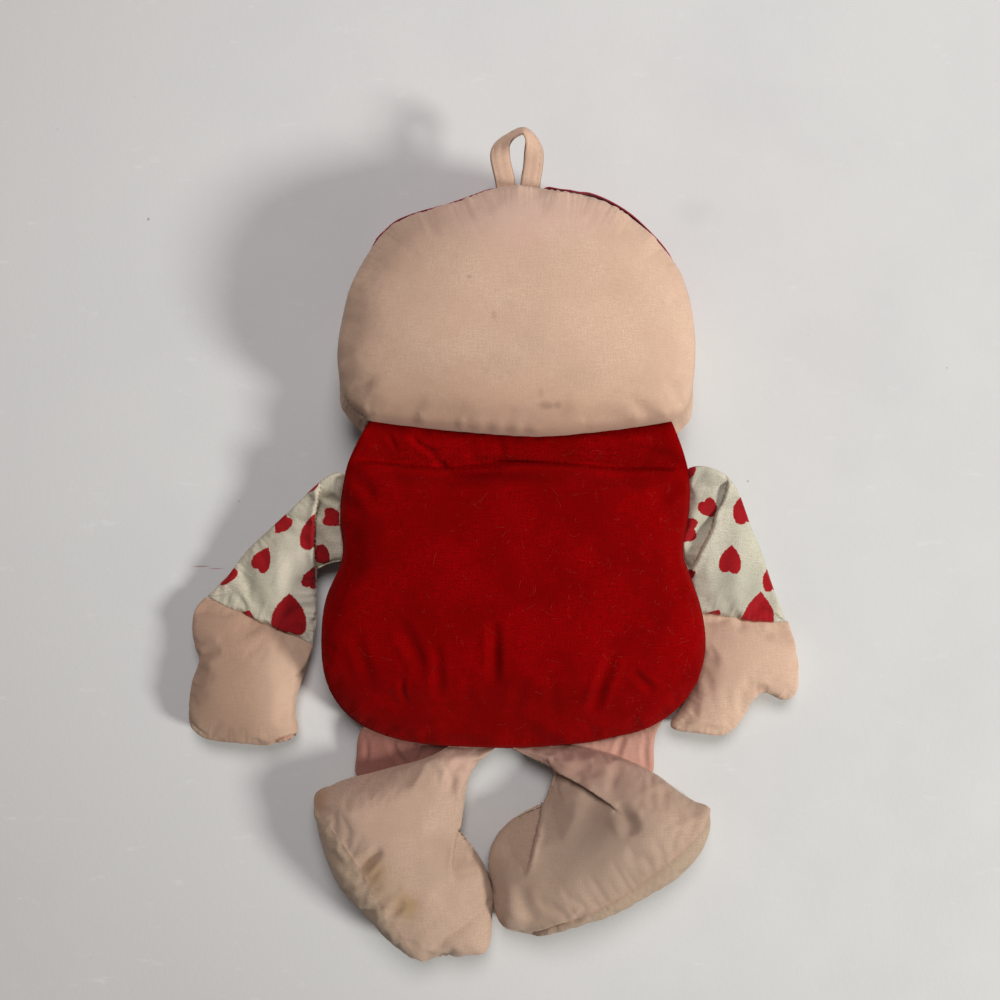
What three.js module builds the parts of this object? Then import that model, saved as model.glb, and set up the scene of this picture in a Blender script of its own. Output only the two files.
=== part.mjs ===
// A stuffed cloth doll with a hanging loop, lying face down with its arms and feet spread.
// Each part is sewn from flat cotton panels over loose stuffing, and the seams are its hinges.
// Millimetres. +Z is up from the floor, +Y runs to the head and x = 0 is the doll's middle.
import * as THREE from 'three';

// Cloth and sewing
const clothThickness = 0.8;
const seamGap = 0.3;
const edgeMitre = 1.3; // how much further cloth is set in along a seam than across its crown

// Torso
const neckHalfWidth = 63;
const neckDip = 6; // the neck seam is this much lower at its middle than at its corners
const neckY = 76.6; // the neck seam's corners
const chestHalfWidth = 75.5;
const chestY = 38;
const waistHalfWidth = 74;
const waistY = 19;
const hipHalfWidth = 83;
const hipY = -22;
const torsoBottomY = -64;
const torsoSeamZ = 20;
const torsoBackCrown = 22;
const torsoFrontCrown = 22;
const neckZ = 31;
const crotchZ = 8;
const neckCreaseY = 57;
const neckCreaseWidth = 11;
const neckCreaseDepth = 0.8; // share of the crown that the crease takes away

// Head
const headHalfWidth = 76;
const headHeight = 100; // from the neck seam's corners to the top seam
const headBackCrown = 29;
const headFrontCrown = 34;
const cheekBulge = 0.2; // how far the face's cloth swells past the seam, as a share of its reach
const hairLength = 64; // how far down the sides of the head the hair reaches

// Hanging loop
const tapeWidth = 8;
const tapeThickness = 1.6;
const loopHeight = 22.5;
const loopHalfWidth = 6.7;
const loopFootSpread = 5.2;

// Arms
const shoulderTopY = 55;
const shoulderBottomY = 17;
const sleeveThickness = 11;
const cuffThickness = 2.4;
const handTaper = 11; // over this length a hand thickens from the cuff seam
const handThickness = 15;
const restingHandZ = 8; // the hand's side seam

// Legs and feet
const hipLineX = 41; // the hip's hinge line touches the torso's bottom edge here
const hipLineSlope = 0.15;
const legOuterX = 69;
const legThickness = 5;
const ankleZ = 7.5;
const footThickness = 30;

// Small helpers for numbers and points
const lerp = THREE.MathUtils.lerp;
const ease = (value, from, to) => {
  const t = THREE.MathUtils.clamp((value - from) / (to - from), 0, 1);
  return t * t * (3 - 2 * t);
};
const point = (x, y, z = 0) => new THREE.Vector3(x, y, z);
const middleOf = (row) => row.reduce((sum, p) => sum.add(p), point(0, 0)).divideScalar(row.length);
const spline = (pairs) => new THREE.CatmullRomCurve3(pairs.map(([x, y]) => point(x, y)), false, 'centripetal');
const mirrored = (pairs) => pairs.map(([x, y]) => [-x, y]).reverse();

// Even points along a curve, without its last one, so that curves can be chained into a ring.
const sample = (curve, count) => curve.getSpacedPoints(count).slice(0, -1);

// A solid from its vertices and faces, turned so that the faces point out.
function solid(vertices, faces) {
  const triangles = faces.filter(([a, b, c]) => a !== b && b !== c && a !== c);
  const cross = new THREE.Vector3();
  const volume = triangles.reduce((sum, [a, b, c]) => {
    return sum + vertices[a].dot(cross.crossVectors(vertices[b], vertices[c]));
  }, 0);
  const turned = volume < 0 ? triangles.map(([a, b, c]) => [a, c, b]) : triangles;
  const geometry = new THREE.BufferGeometry().setFromPoints(vertices).setIndex(turned.flat());
  geometry.computeVertexNormals();
  return geometry;
}

// A body skinned over a stack of rings. A row of one point closes an end. A hollow tube's rows
// run out along its outside and back along its inside, and joinEnds closes them on each other.
// Rows from the one numbered back on run the other way, and their faces are split to match.
function ringSolid(rows, back = Infinity, joinEnds = false) {
  const starts = [];
  const vertices = [];
  for (const row of rows) {
    starts.push(vertices.length);
    vertices.push(...row);
  }
  const at = (r, i) => starts[r] + (rows[r].length === 1 ? 0 : i % rows[r].length);
  const faces = [];
  const last = joinEnds ? rows.length : rows.length - 1;
  for (let r = 0; r < last; r += 1) {
    const next = (r + 1) % rows.length;
    const around = Math.max(rows[r].length, rows[next].length);
    for (let i = 0; i < around; i += 1) {
      const corners = [at(r, i), at(r, i + 1), at(next, i + 1), at(next, i)];
      if (r >= back) corners.push(corners.shift());
      const [a, b, c, d] = corners;
      faces.push([a, b, d], [b, c, d]);
    }
  }
  return solid(vertices, faces);
}

// A piece of cloth between an outer and an inner grid of points, closed along its four edges.
function sheetSolid(outer, inner) {
  const rows = outer.length;
  const columns = outer[0].length;
  const vertices = [...outer.flat(), ...inner.flat()];
  const at = (layer, r, c) => layer * rows * columns + r * columns + c;
  const faces = [];
  const quad = (a, b, c, d) => faces.push([a, b, c], [a, c, d]);
  for (let r = 0; r < rows - 1; r += 1) {
    for (let c = 0; c < columns - 1; c += 1) {
      quad(at(0, r, c), at(0, r, c + 1), at(0, r + 1, c + 1), at(0, r + 1, c));
      quad(at(1, r, c), at(1, r + 1, c), at(1, r + 1, c + 1), at(1, r, c + 1));
    }
    quad(at(0, r, 0), at(0, r + 1, 0), at(1, r + 1, 0), at(1, r, 0));
    quad(at(0, r + 1, columns - 1), at(0, r, columns - 1), at(1, r, columns - 1), at(1, r + 1, columns - 1));
  }
  for (let c = 0; c < columns - 1; c += 1) {
    quad(at(0, 0, c + 1), at(0, 0, c), at(1, 0, c), at(1, 0, c + 1));
    quad(at(0, rows - 1, c), at(0, rows - 1, c + 1), at(1, rows - 1, c + 1), at(1, rows - 1, c));
  }
  return solid(vertices, faces);
}

// One face of a stuffed pillow, as rings from the top of its crown out to the seam. Inset sets the
// face in, for the inner side of the cloth and for the stuffing, and a negative one lies over it.
// The seam is a ring of points, and side is 1 for the face above it and -1 for the one below.
function pillowFace(pillow, side, inset, rings) {
  const { seam, centre, crown, seamHeight, fullness = 2.4, relief = () => 1, swell = () => 0 } = pillow;
  return Array.from({ length: rings + 1 }, (_, ring) => {
    const angle = (ring / rings) * (Math.PI / 2);
    const reach = Math.sin(angle) ** (2 / fullness);
    const rise = ring === rings ? 0 : Math.cos(angle);
    return (ring === 0 ? [seam[0]] : seam).map((edge) => {
      const out = edge.clone().sub(centre);
      const grown = reach + swell(edge, side) * Math.sin(2 * angle);
      const place = centre.clone().addScaledVector(out, grown);
      const height = Math.max(crown[side] * rise * relief(place, side) - inset, 0);
      const z = seamHeight(place.y) + side * (height + seamGap / 2);
      const setIn = inset * edgeMitre * Math.sin(angle) ** 6;
      place.addScaledVector(out.normalize(), -setIn);
      return place.setZ(side < 0 ? Math.max(z, inset) : z);
    });
  });
}

// The cloth panel on one side of a pillow.
function pillowPanel(pillow, side, rings) {
  const outside = pillowFace(pillow, side, 0, rings[side]);
  const inside = pillowFace(pillow, side, clothThickness, rings[side]);
  return ringSolid([...outside, ...inside.reverse()], outside.length);
}

// The stuffing between a pillow's two panels.
function pillowStuffing(pillow, rings) {
  const inset = clothThickness + seamGap;
  const rim = (face) => face[face.length - 1];
  const above = pillowFace(pillow, 1, inset, rings[1]);
  const below = pillowFace(pillow, -1, inset, rings[-1]);
  const middle = rim(above).map((top, i) => top.clone().lerp(rim(below)[i], 0.5));
  return ringSolid([...above.slice(0, -1), middle, ...below.slice(0, -1).reverse()], above.length - 1);
}

// Materials
const cotton = (name, colour) => {
  return new THREE.MeshStandardMaterial({ name, color: colour, roughness: 0.95, metalness: 0 });
};
const peachCotton = cotton('peach_cotton', 0xdcb49c);
const redCotton = cotton('red_cotton', 0xb00008);
const heartCotton = cotton('heart_print_cotton', 0xddd8c8);
const hairCotton = cotton('hair_cotton', 0x7a2630);
const stuffing = cotton('polyester_stuffing', 0xf2f0ea);

function piece(name, geometry, material) {
  const mesh = new THREE.Mesh(geometry, material);
  mesh.name = name;
  return mesh;
}

// The group of pieces that turns as one, placed at its own seam.
function group(x, y, z, ...children) {
  const made = new THREE.Group();
  made.position.set(x, y, z);
  made.add(...children);
  return made;
}

// Torso: two red panels on one seam, which climbs to the neck and falls to the crotch.
const torsoSide = [
  [neckHalfWidth, neckY],
  [lerp(neckHalfWidth, chestHalfWidth, 0.75), lerp(neckY, chestY, 0.45)],
  [chestHalfWidth, chestY],
  [waistHalfWidth, waistY],
  [lerp(waistHalfWidth, hipHalfWidth, 0.7), lerp(waistY, hipY, 0.6)],
  [hipHalfWidth, hipY],
  [hipHalfWidth * 0.97, lerp(hipY, torsoBottomY, 0.38)],
  [hipHalfWidth * 0.9, lerp(hipY, torsoBottomY, 0.63)],
  [hipHalfWidth * 0.77, lerp(hipY, torsoBottomY, 0.8)],
  [hipHalfWidth * 0.48, lerp(hipY, torsoBottomY, 0.94)],
];
const torsoEdge = spline([...torsoSide, [0, torsoBottomY], ...mirrored(torsoSide)]);
const neckCorner = point(neckHalfWidth, neckY);
const neckSeam = new THREE.QuadraticBezierCurve3(
  point(-neckHalfWidth, neckY),
  point(0, neckY - 2 * neckDip),
  neckCorner,
);

const torsoSeamHeight = (y) => {
  const climb = (neckZ - torsoSeamZ) * ease(y, chestY, neckY - neckDip);
  const fall = (torsoSeamZ - crotchZ) * ease(y, hipY, torsoBottomY);
  return torsoSeamZ + climb - fall;
};

// The lower edge's height at a distance from the middle.
const edgeY = (edge, x) => {
  const near = edge.getSpacedPoints(400).filter((p) => p.y < 0);
  return near.reduce((best, p) => (Math.abs(p.x - x) < Math.abs(best.x - x) ? p : best)).y;
};

// The back falls to an unstuffed band below the neck. The front thins under the chin and where
// the legs fold forwards.
const torsoRelief = (place, side) => {
  if (side > 0) return 1 - neckCreaseDepth * ease(place.y, neckCreaseY - neckCreaseWidth, neckCreaseY);
  return 1 - 0.75 * ease(place.y, chestY, neckCreaseY) - 0.75 * ease(place.y, hipY - 4, torsoBottomY);
};

const torsoPillow = {
  seam: [...sample(torsoEdge, 26), ...sample(neckSeam, 8)],
  centre: point(0, (waistY + hipY) / 2),
  crown: { 1: torsoBackCrown, [-1]: torsoFrontCrown },
  seamHeight: torsoSeamHeight,
  relief: torsoRelief,
};
const torsoRings = { 1: 7, [-1]: 5 };

const torsoGroup = group(
  0, 0, 0,
  piece('body_back_panel', pillowPanel(torsoPillow, 1, torsoRings), redCotton),
  piece('body_front_panel', pillowPanel(torsoPillow, -1, torsoRings), redCotton),
  piece('body_stuffing', pillowStuffing(torsoPillow, torsoRings), stuffing),
);

// Head: a wide pillow on the neck seam. Its pieces are drawn from the middle of the neck's hinge.
const neckHingeY = neckY - neckDip / 2;
const headBottom = neckY - neckHingeY + seamGap;
const headTop = headBottom + headHeight;
const headSide = [
  [neckHalfWidth, headBottom],
  [headHalfWidth * 0.94, headBottom + headHeight * 0.06],
  [headHalfWidth * 0.99, headBottom + headHeight * 0.17],
  [headHalfWidth, headBottom + headHeight * 0.3],
  [headHalfWidth * 0.975, headBottom + headHeight * 0.45],
  [headHalfWidth * 0.9, headBottom + headHeight * 0.63],
  [headHalfWidth * 0.76, headBottom + headHeight * 0.79],
  [headHalfWidth * 0.55, headBottom + headHeight * 0.905],
  [headHalfWidth * 0.28, headBottom + headHeight * 0.975],
];
const headEdge = spline([...headSide, [0, headTop], ...mirrored(headSide)]);
const chinSeam = new THREE.QuadraticBezierCurve3(
  point(-neckHalfWidth, headBottom),
  point(0, headBottom - 2 * neckDip),
  point(neckHalfWidth, headBottom),
);

const headPillow = {
  seam: [...sample(headEdge, 24), ...sample(chinSeam, 8)],
  centre: point(0, headBottom + headHeight * 0.42),
  crown: { 1: headBackCrown, [-1]: headFrontCrown },
  seamHeight: () => neckZ,
  fullness: 2.6,
  // The face's cloth is fuller than the back's: a little all round, and most at the cheeks.
  swell: (edge, side) => {
    if (side > 0) return 0;
    const low = 1 - ease(edge.y, headBottom, headBottom + headHeight * 0.28);
    return 0.04 + cheekBulge * low * ease(Math.abs(edge.x), neckHalfWidth * 0.5, neckHalfWidth);
  },
};
const headRings = { 1: 5, [-1]: 5 };
const hairlineRing = 3;
const hairlineY = headTop - hairLength;

// The hair: a cap of cloth laid on the face panel, from the top seam down to the hairline.
function hairGeometry() {
  const lay = (inset) => {
    const face = pillowFace(headPillow, -1, inset, headRings[-1]).slice(hairlineRing);
    const over = headPillow.seam.map((edge, i) => i).filter((i) => headPillow.seam[i].y > hairlineY);
    return face.map((ring) => over.map((i) => ring[i]).reverse());
  };
  return sheetSolid(lay(-seamGap - clothThickness), lay(-seamGap));
}

// The hanging loop: a folded tape that lies flat at its two feet and turns on edge over the top.
function loopGeometry() {
  const line = new THREE.CatmullRomCurve3([
    point(-loopFootSpread, 0),
    point(-loopHalfWidth, loopHeight * 0.42),
    point(-loopHalfWidth * 0.96, loopHeight * 0.72),
    point(-loopHalfWidth * 0.5, loopHeight * 0.95),
    point(0, loopHeight),
    point(loopHalfWidth * 0.5, loopHeight * 0.95),
    point(loopHalfWidth * 0.96, loopHeight * 0.72),
    point(loopHalfWidth, loopHeight * 0.42),
    point(loopFootSpread, 0),
  ]);
  const steps = 18;
  const up = point(0, 0, 1);
  const rows = Array.from({ length: steps + 1 }, (_, i) => {
    const t = i / steps;
    const along = line.getTangent(t);
    const inPlane = along.clone().cross(up);
    const turn = (Math.PI / 2) * ease(1 - Math.abs(2 * t - 1), 0.3, 0.8);
    const wide = inPlane.clone().multiplyScalar(Math.cos(turn)).addScaledVector(up, Math.sin(turn));
    const thick = along.clone().cross(wide);
    const middle = line.getPoint(t);
    const corner = (w, h) => {
      return middle.clone().addScaledVector(wide, w * tapeWidth / 2).addScaledVector(thick, h * tapeThickness / 2);
    };
    return [corner(-1, -1), corner(0, -1), corner(1, -1), corner(1, 1), corner(0, 1), corner(-1, 1)];
  });
  return ringSolid([[middleOf(rows[0])], ...rows, [middleOf(rows[steps])]]);
}

const headGroup = group(
  0, neckHingeY, 0,
  piece('head_back_panel', pillowPanel(headPillow, 1, headRings), peachCotton),
  piece('head_face_panel', pillowPanel(headPillow, -1, headRings), peachCotton),
  piece('head_stuffing', pillowStuffing(headPillow, headRings), stuffing),
  piece('hair_panel', hairGeometry(), hairCotton),
  group(0, headTop + seamGap + tapeThickness / 2, neckZ + (tapeThickness - seamGap) / 2, piece('hanging_loop', loopGeometry(), peachCotton)),
);

// Arms: each sleeve is a flattened tube between the torso's side seam and the cuff seam.
// Places are given from the middle of the shoulder seam, with x away from the torso.
const shoulderX = chestHalfWidth + seamGap;
const shoulderY = (shoulderTopY + shoulderBottomY) / 2;
function sleeveRing(arm, t, inset, around) {
  const outer = arm.outerEdge.getPoint(t);
  const inner = arm.innerEdge.getPoint(t);
  const middle = outer.clone().add(inner).multiplyScalar(0.5);
  const half = outer.clone().sub(middle);
  half.setLength(half.length() - inset * edgeMitre);
  const swell = Math.sin(Math.PI * Math.min(1, t * 1.15)) ** 0.7;
  const rootThickness = 2 * (clothThickness + seamGap) + 0.6;
  const thickness = Math.max(lerp(rootThickness, cuffThickness, t), sleeveThickness * swell) / 2 - inset;
  return Array.from({ length: around }, (_, i) => {
    const angle = (i / around) * 2 * Math.PI;
    const place = middle.clone().addScaledVector(half, Math.cos(angle));
    const z = lerp(restingHandZ, torsoSeamHeight(shoulderY + place.y), (1 - t) ** 2);
    return place.setZ(z + thickness * Math.sin(angle));
  });
}

const sleeveSteps = 6;
const sleeveRows = (arm, inset, around) => {
  return Array.from({ length: sleeveSteps + 1 }, (_, i) => sleeveRing(arm, i / sleeveSteps, inset, around));
};

function sleeveGeometry(arm) {
  const outside = sleeveRows(arm, 0, 12);
  const inside = sleeveRows(arm, clothThickness, 12);
  return ringSolid([...outside, ...inside.reverse()], outside.length, true);
}

function sleeveStuffing(arm) {
  const rows = sleeveRows(arm, clothThickness + seamGap, 12).slice(1, -1);
  return ringSolid([[middleOf(rows[0])], ...rows, [middleOf(rows[rows.length - 1])]]);
}

// A flat frame at a place: turns a pair, measured along its two directions, into a point.
const frameAt = (origin, first, second) => ([x, y]) => {
  return origin.clone().addScaledVector(first, x).addScaledVector(second, y);
};

// A hand: a mitten pillow. Its outline is given from the middle of the cuff seam, as pairs of a
// distance across it, towards the body, and a distance from it.
const handRings = { 1: 3, [-1]: 3 };
const handPillow = (hand, place, down) => ({
  seam: sample(new THREE.CatmullRomCurve3(hand.outline.map(place), true, 'centripetal'), 20),
  centre: place(hand.middle),
  crown: { 1: handThickness - restingHandZ, [-1]: restingHandZ + 1 },
  seamHeight: () => restingHandZ,
  relief: (spot) => lerp(0.3, 1, ease(spot.dot(down), 0, handTaper)),
});

// An arm at one side, -1 for -X or 1 for +X. Its places are the doll's own, with x from the middle.
function arm(name, side, { cuffOuter, cuffInner, outerPull, innerPull, hand }) {
  const local = ([x, y]) => point(side * (x - shoulderX), y - shoulderY);
  const [outer, inner] = [local(cuffOuter), local(cuffInner)];
  const sleeve = {
    outerEdge: new THREE.QuadraticBezierCurve3(local([shoulderX, shoulderTopY]), local(outerPull), outer),
    innerEdge: new THREE.QuadraticBezierCurve3(local([shoulderX, shoulderBottomY]), local(innerPull), inner),
  };
  const across = inner.clone().sub(outer).normalize();
  const down = point(-side * across.y, side * across.x);
  const wrist = outer.clone().lerp(inner, 0.5);
  const cuffClearance = down.clone().multiplyScalar(seamGap + clothThickness);
  const pillow = handPillow(hand, frameAt(cuffClearance, across, down), down);
  return group(
    side * shoulderX, shoulderY, 0,
    piece(`${name}_sleeve`, sleeveGeometry(sleeve), heartCotton),
    piece(`${name}_sleeve_stuffing`, sleeveStuffing(sleeve), stuffing),
    group(
      wrist.x, wrist.y, 0,
      piece(`${name}_hand_back_panel`, pillowPanel(pillow, 1, handRings), peachCotton),
      piece(`${name}_hand_palm_panel`, pillowPanel(pillow, -1, handRings), peachCotton),
      piece(`${name}_hand_stuffing`, pillowStuffing(pillow, handRings), stuffing),
    ),
  );
}

const leftHand = {
  outline: [
    [-24, 1], [0, 0], [24, 1], [27.5, 13], [31, 30], [35.5, 39],
    [16, 52], [0, 57], [-9, 54], [-15.5, 38], [-17, 29], [-23, 19], [-27.8, 8],
  ],
  middle: [3, 27],
};
const rightHand = {
  outline: [
    [-20, 1], [0, 0], [16, 1], [12.5, 12], [13.5, 30], [18, 43], [21, 50], [11, 53.5], [-1, 52.5],
    [-8, 43.5], [-11.6, 34.7], [-17.6, 32], [-23.8, 34.5], [-29.6, 31], [-29.8, 24], [-27, 11],
  ],
  middle: [0, 24],
};
const leftArm = {
  cuffOuter: [136.9, 0],
  cuffInner: [89.5, -21.4],
  outerPull: [104, 39],
  innerPull: [90, 17],
  hand: leftHand,
};
const rightArm = {
  cuffOuter: [120, -11],
  cuffInner: [77.5, -5.5],
  outerPull: [97, 56],
  innerPull: [78.5, 4],
  hand: rightHand,
};

// Legs: each is an empty, flattened tube that a pleat folds into a triangle. Its long side is
// the hip seam and its slanted side the ankle fold, along which the foot is turned outwards.
function legGeometry(hip, ankle) {
  const steps = 8;
  const rows = Array.from({ length: steps + 1 }, (_, i) => {
    const t = i / steps;
    const top = hip.getPoint(t);
    const bottom = ankle.getPoint(t);
    const swell = 4 * t * (1 - t);
    const ring = [0.02, 0.2, 0.5, 0.8, 0.98];
    const level = (share) => lerp(crotchZ, ankleZ, share * ease(top.y - bottom.y, 0, 18));
    const thick = (share) => lerp(1.2, legThickness, 4 * share * (1 - share) * Math.max(swell, 0.25)) / 2;
    const row = (sign) => ring.map((share) => {
      const place = top.clone().lerp(bottom, share);
      return point(place.x, place.y, level(share) + sign * thick(share));
    });
    return [...row(1), ...row(-1).reverse()];
  });
  return ringSolid([[middleOf(rows[0])], ...rows, [middleOf(rows[steps])]]);
}

// A foot: a boot lying on its side, widest at the sole and drawn in to the ankle fold.
// x runs along the sole from the heel, y from the sole up to the ankle and z is the thickness.
const footWidth = (t) => footThickness * (1 - 0.86 * ease(t, 0.25, 1));
const footMiddle = (t) => lerp(footThickness / 2, ankleZ, ease(t, 0.2, 0.9));
const lens = (share) => Math.sqrt(Math.max(0, 4 * share * (1 - share)));
const footSlices = [0, 0.1, 0.25, 0.42, 0.6, 0.8, 1];
const footShares = [0, 0.04, 0.16, 0.36, 0.6, 0.82, 0.96, 1];

function footPoint(foot, t, share, side, inset) {
  const heel = foot.heelEdge.getPoint(t);
  const toe = foot.toeEdge.getPoint(t);
  const along = toe.clone().sub(heel).normalize();
  heel.addScaledVector(along, inset * edgeMitre);
  toe.addScaledVector(along, -inset * edgeMitre);
  const half = Math.max(footWidth(t) / 2 - inset, 0.1);
  const z = footMiddle(t) + side * (half * lens(share) + seamGap / 2);
  const bow = foot.soleBow * lens(share) * (1 - ease(t, 0, 0.3));
  return heel.lerp(toe, share).addScaledVector(foot.up, -bow).setZ(Math.max(z, side < 0 ? inset : 0));
}

function footSide(foot, side) {
  const shares = side > 0 ? footShares.toReversed() : footShares;
  const face = (inset) => footSlices.map((t) => shares.map((share) => footPoint(foot, t, share, side, inset)));
  return sheetSolid(face(0), face(clothThickness));
}

function footStuffing(foot) {
  const inset = clothThickness + seamGap;
  const rows = footSlices.slice(0, -1).map((t) => {
    const over = footShares.map((share) => footPoint(foot, t, share, 1, inset));
    const under = footShares.slice(1, -1).map((share) => footPoint(foot, t, share, -1, inset));
    return [...over, ...under.reverse()];
  });
  return ringSolid([[middleOf(rows[0])], ...rows, [middleOf(rows[rows.length - 1])]]);
}

// The sole: a long oval of cloth between the two sides' lower seams, swelling outwards.
function soleGeometry(foot) {
  const rings = 2;
  const around = 18;
  const face = (inset) => Array.from({ length: rings + 1 }, (_, ring) => {
    const angle = (ring / rings) * (Math.PI / 2);
    const edge = Array.from({ length: ring === 0 ? 1 : around }, (__, i) => {
      const turn = (i / around) * 2 * Math.PI;
      const along = 0.5 - 0.5 * Math.cos(turn);
      const rim = footPoint(foot, 0, along, Math.sin(turn) < 0 ? -1 : 1, inset);
      const middle = footPoint(foot, 0, 0.5, 1, inset).setZ(footMiddle(0));
      const place = middle.clone().lerp(rim, Math.sin(angle));
      const swell = ring === rings ? 0 : (foot.soleBulge - inset) * Math.cos(angle);
      return place.addScaledVector(foot.up, -swell - seamGap);
    });
    return edge;
  });
  return ringSolid([...face(0), ...face(clothThickness).reverse()], rings + 1);
}

// A leg at one side, -1 for -X or 1 for +X. Its places are the doll's own, with x from the middle,
// and its foot's edges are pairs of a distance along the sole from the heel and one up from it.
function leg(name, side, { ankleOuter, ankleInner, heel, toe, heelSide, toeSide, soleBow, soleBulge }) {
  const hipLineY = edgeY(torsoEdge, hipLineX) - seamGap;
  const onHipLine = (x) => hipLineY + hipLineSlope * (x - hipLineX);
  const local = ([x, y]) => point(side * (x - hipLineX), y - hipLineY);
  const hip = new THREE.LineCurve3(
    local([legOuterX, onHipLine(legOuterX)]),
    local([ankleInner[0], onHipLine(ankleInner[0])]),
  );
  const fold = new THREE.LineCurve3(local(ankleOuter), local(ankleInner));
  const heelPlace = local(heel);
  const along = local(toe).sub(heelPlace).normalize();
  const up = point(side * along.y, -side * along.x);
  const ankle = fold.getPoint(0.5);
  const place = frameAt(heelPlace.sub(ankle), along, up);
  const curve = (pairs) => new THREE.CatmullRomCurve3(pairs.map(place), false, 'centripetal');
  const foot = { heelEdge: curve(heelSide), toeEdge: curve(toeSide), up, soleBow, soleBulge };
  return group(
    side * hipLineX, hipLineY, 0,
    piece(`${name}_leg`, legGeometry(hip, fold), peachCotton),
    group(
      ankle.x, ankle.y, 0,
      piece(`${name}_foot_upper_side`, footSide(foot, 1), peachCotton),
      piece(`${name}_foot_lower_side`, footSide(foot, -1), peachCotton),
      piece(`${name}_foot_sole`, soleGeometry(foot), peachCotton),
      piece(`${name}_foot_stuffing`, footStuffing(foot), stuffing),
    ),
  );
}

const leftLeg = {
  ankleOuter: [70, -76.9],
  ankleInner: [26.5, -64.1],
  heel: [88, -88],
  toe: [36, -158],
  heelSide: [[0, 0], [-0.9, 10], [2.3, 21], [7.3, 32], [14.8, 52.5], [18, 63]],
  toeSide: [[88, 0], [97, 10], [97.5, 22], [81, 35], [61, 43.4], [47, 43.5], [38, 53], [27, 66]],
  soleBow: 0,
  soleBulge: 11,
};
const rightLeg = {
  ankleOuter: [60, -74.8],
  ankleInner: [23, -63.2],
  heel: [85, -91.6],
  toe: [3, -147],
  heelSide: [[0, 0], [4.5, 5.5], [12.5, 27.2], [24.2, 41.4], [36.8, 56.4], [48, 65]],
  toeSide: [
    [97.5, -1.2], [103.7, 10], [98, 26], [94, 34], [85, 41],
    [70, 43], [56, 42.5], [48, 49], [50, 58], [56, 68],
  ],
  soleBow: 7.5,
  soleBulge: 7.5,
};

const doll = new THREE.Group();
doll.add(torsoGroup, headGroup, arm('left', -1, leftArm), arm('right', 1, rightArm));
doll.add(leg('left', -1, leftLeg), leg('right', 1, rightLeg));
export default doll;
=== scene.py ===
import math

import bpy
import numpy as np
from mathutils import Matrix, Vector
from mathutils.bvhtree import BVHTree
from mathutils.geometry import delaunay_2d_cdt


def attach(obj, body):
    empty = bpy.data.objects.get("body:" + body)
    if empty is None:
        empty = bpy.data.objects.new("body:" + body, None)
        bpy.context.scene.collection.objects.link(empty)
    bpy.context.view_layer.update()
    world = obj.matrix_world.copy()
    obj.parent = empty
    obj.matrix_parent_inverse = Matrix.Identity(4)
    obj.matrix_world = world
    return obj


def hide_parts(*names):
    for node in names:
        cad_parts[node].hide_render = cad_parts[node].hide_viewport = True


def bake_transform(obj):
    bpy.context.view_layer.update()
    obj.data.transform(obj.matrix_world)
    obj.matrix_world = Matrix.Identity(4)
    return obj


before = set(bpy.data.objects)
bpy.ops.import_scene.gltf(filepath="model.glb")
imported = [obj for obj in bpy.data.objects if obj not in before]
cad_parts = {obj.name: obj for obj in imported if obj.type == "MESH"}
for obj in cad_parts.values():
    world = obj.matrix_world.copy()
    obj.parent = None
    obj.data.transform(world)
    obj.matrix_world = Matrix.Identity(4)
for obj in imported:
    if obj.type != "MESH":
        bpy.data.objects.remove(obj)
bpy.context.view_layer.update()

mm = 0.001
cloth = {
    "step": 2.6,  # spacing of the points of a cut panel
    "frames": 24,
    "scale": 0.01,  # the simulation runs at ten times life size
    "lowest": 0.6,  # of a pillow's lower layer as it is cut, above the floor
    "under": 40,  # height in the flat cloth of a pillow's lower layer, apart from the top one at 0
}


def addObject(name, points, faces, smooth=True):
    # points are in metres here
    mesh = bpy.data.meshes.new(name)
    mesh.from_pydata(points, [], faces)
    mesh.polygons.foreach_set("use_smooth", [smooth] * len(mesh.polygons))
    ob = bpy.data.objects.new(name, mesh)
    bpy.context.scene.collection.objects.link(ob)
    return ob


# Curves and distances

def curveThrough(points, step):
    # even points on a smooth curve through the given ones, ends included
    p = [np.array(q, float) for q in points]
    if len(p) == 2:
        dense = [p[0], p[1]]
    else:
        p = [2 * p[0] - p[1], *p, 2 * p[-1] - p[-2]]
        dense = []
        for i in range(1, len(p) - 2):
            a, b, c, d = p[i - 1 : i + 3]
            spans = [math.sqrt(np.linalg.norm(q - r)) + 1e-6 for q, r in ((b, a), (c, b), (d, c))]
            knots = np.cumsum([0, *spans])
            for t in np.linspace(knots[1], knots[2], 24, endpoint=False):
                dense.append(barryGoldman((a, b, c, d), knots, t))
        dense.append(p[-2])
    dense = np.array(dense)
    lengths = np.concatenate([[0], np.cumsum(np.linalg.norm(np.diff(dense, axis=0), axis=1))])
    count = max(1, round(lengths[-1] / step))
    even = np.linspace(0, lengths[-1], count + 1)
    return np.stack([np.interp(even, lengths, dense[:, k]) for k in range(dense.shape[1])], axis=1)


def barryGoldman(points, knots, t):
    level = list(points)
    for size in (1, 2, 3):
        level = [
            ((knots[i + size] - t) * level[i] + (t - knots[i]) * level[i + 1]) / (knots[i + size] - knots[i])
            for i in range(len(level) - 1)
        ]
    return level[0]


def ringOf(curves, step):
    # closes a chain of curves into one ring of points
    return np.concatenate([curveThrough(c, step)[:-1] for c in curves])


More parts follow.
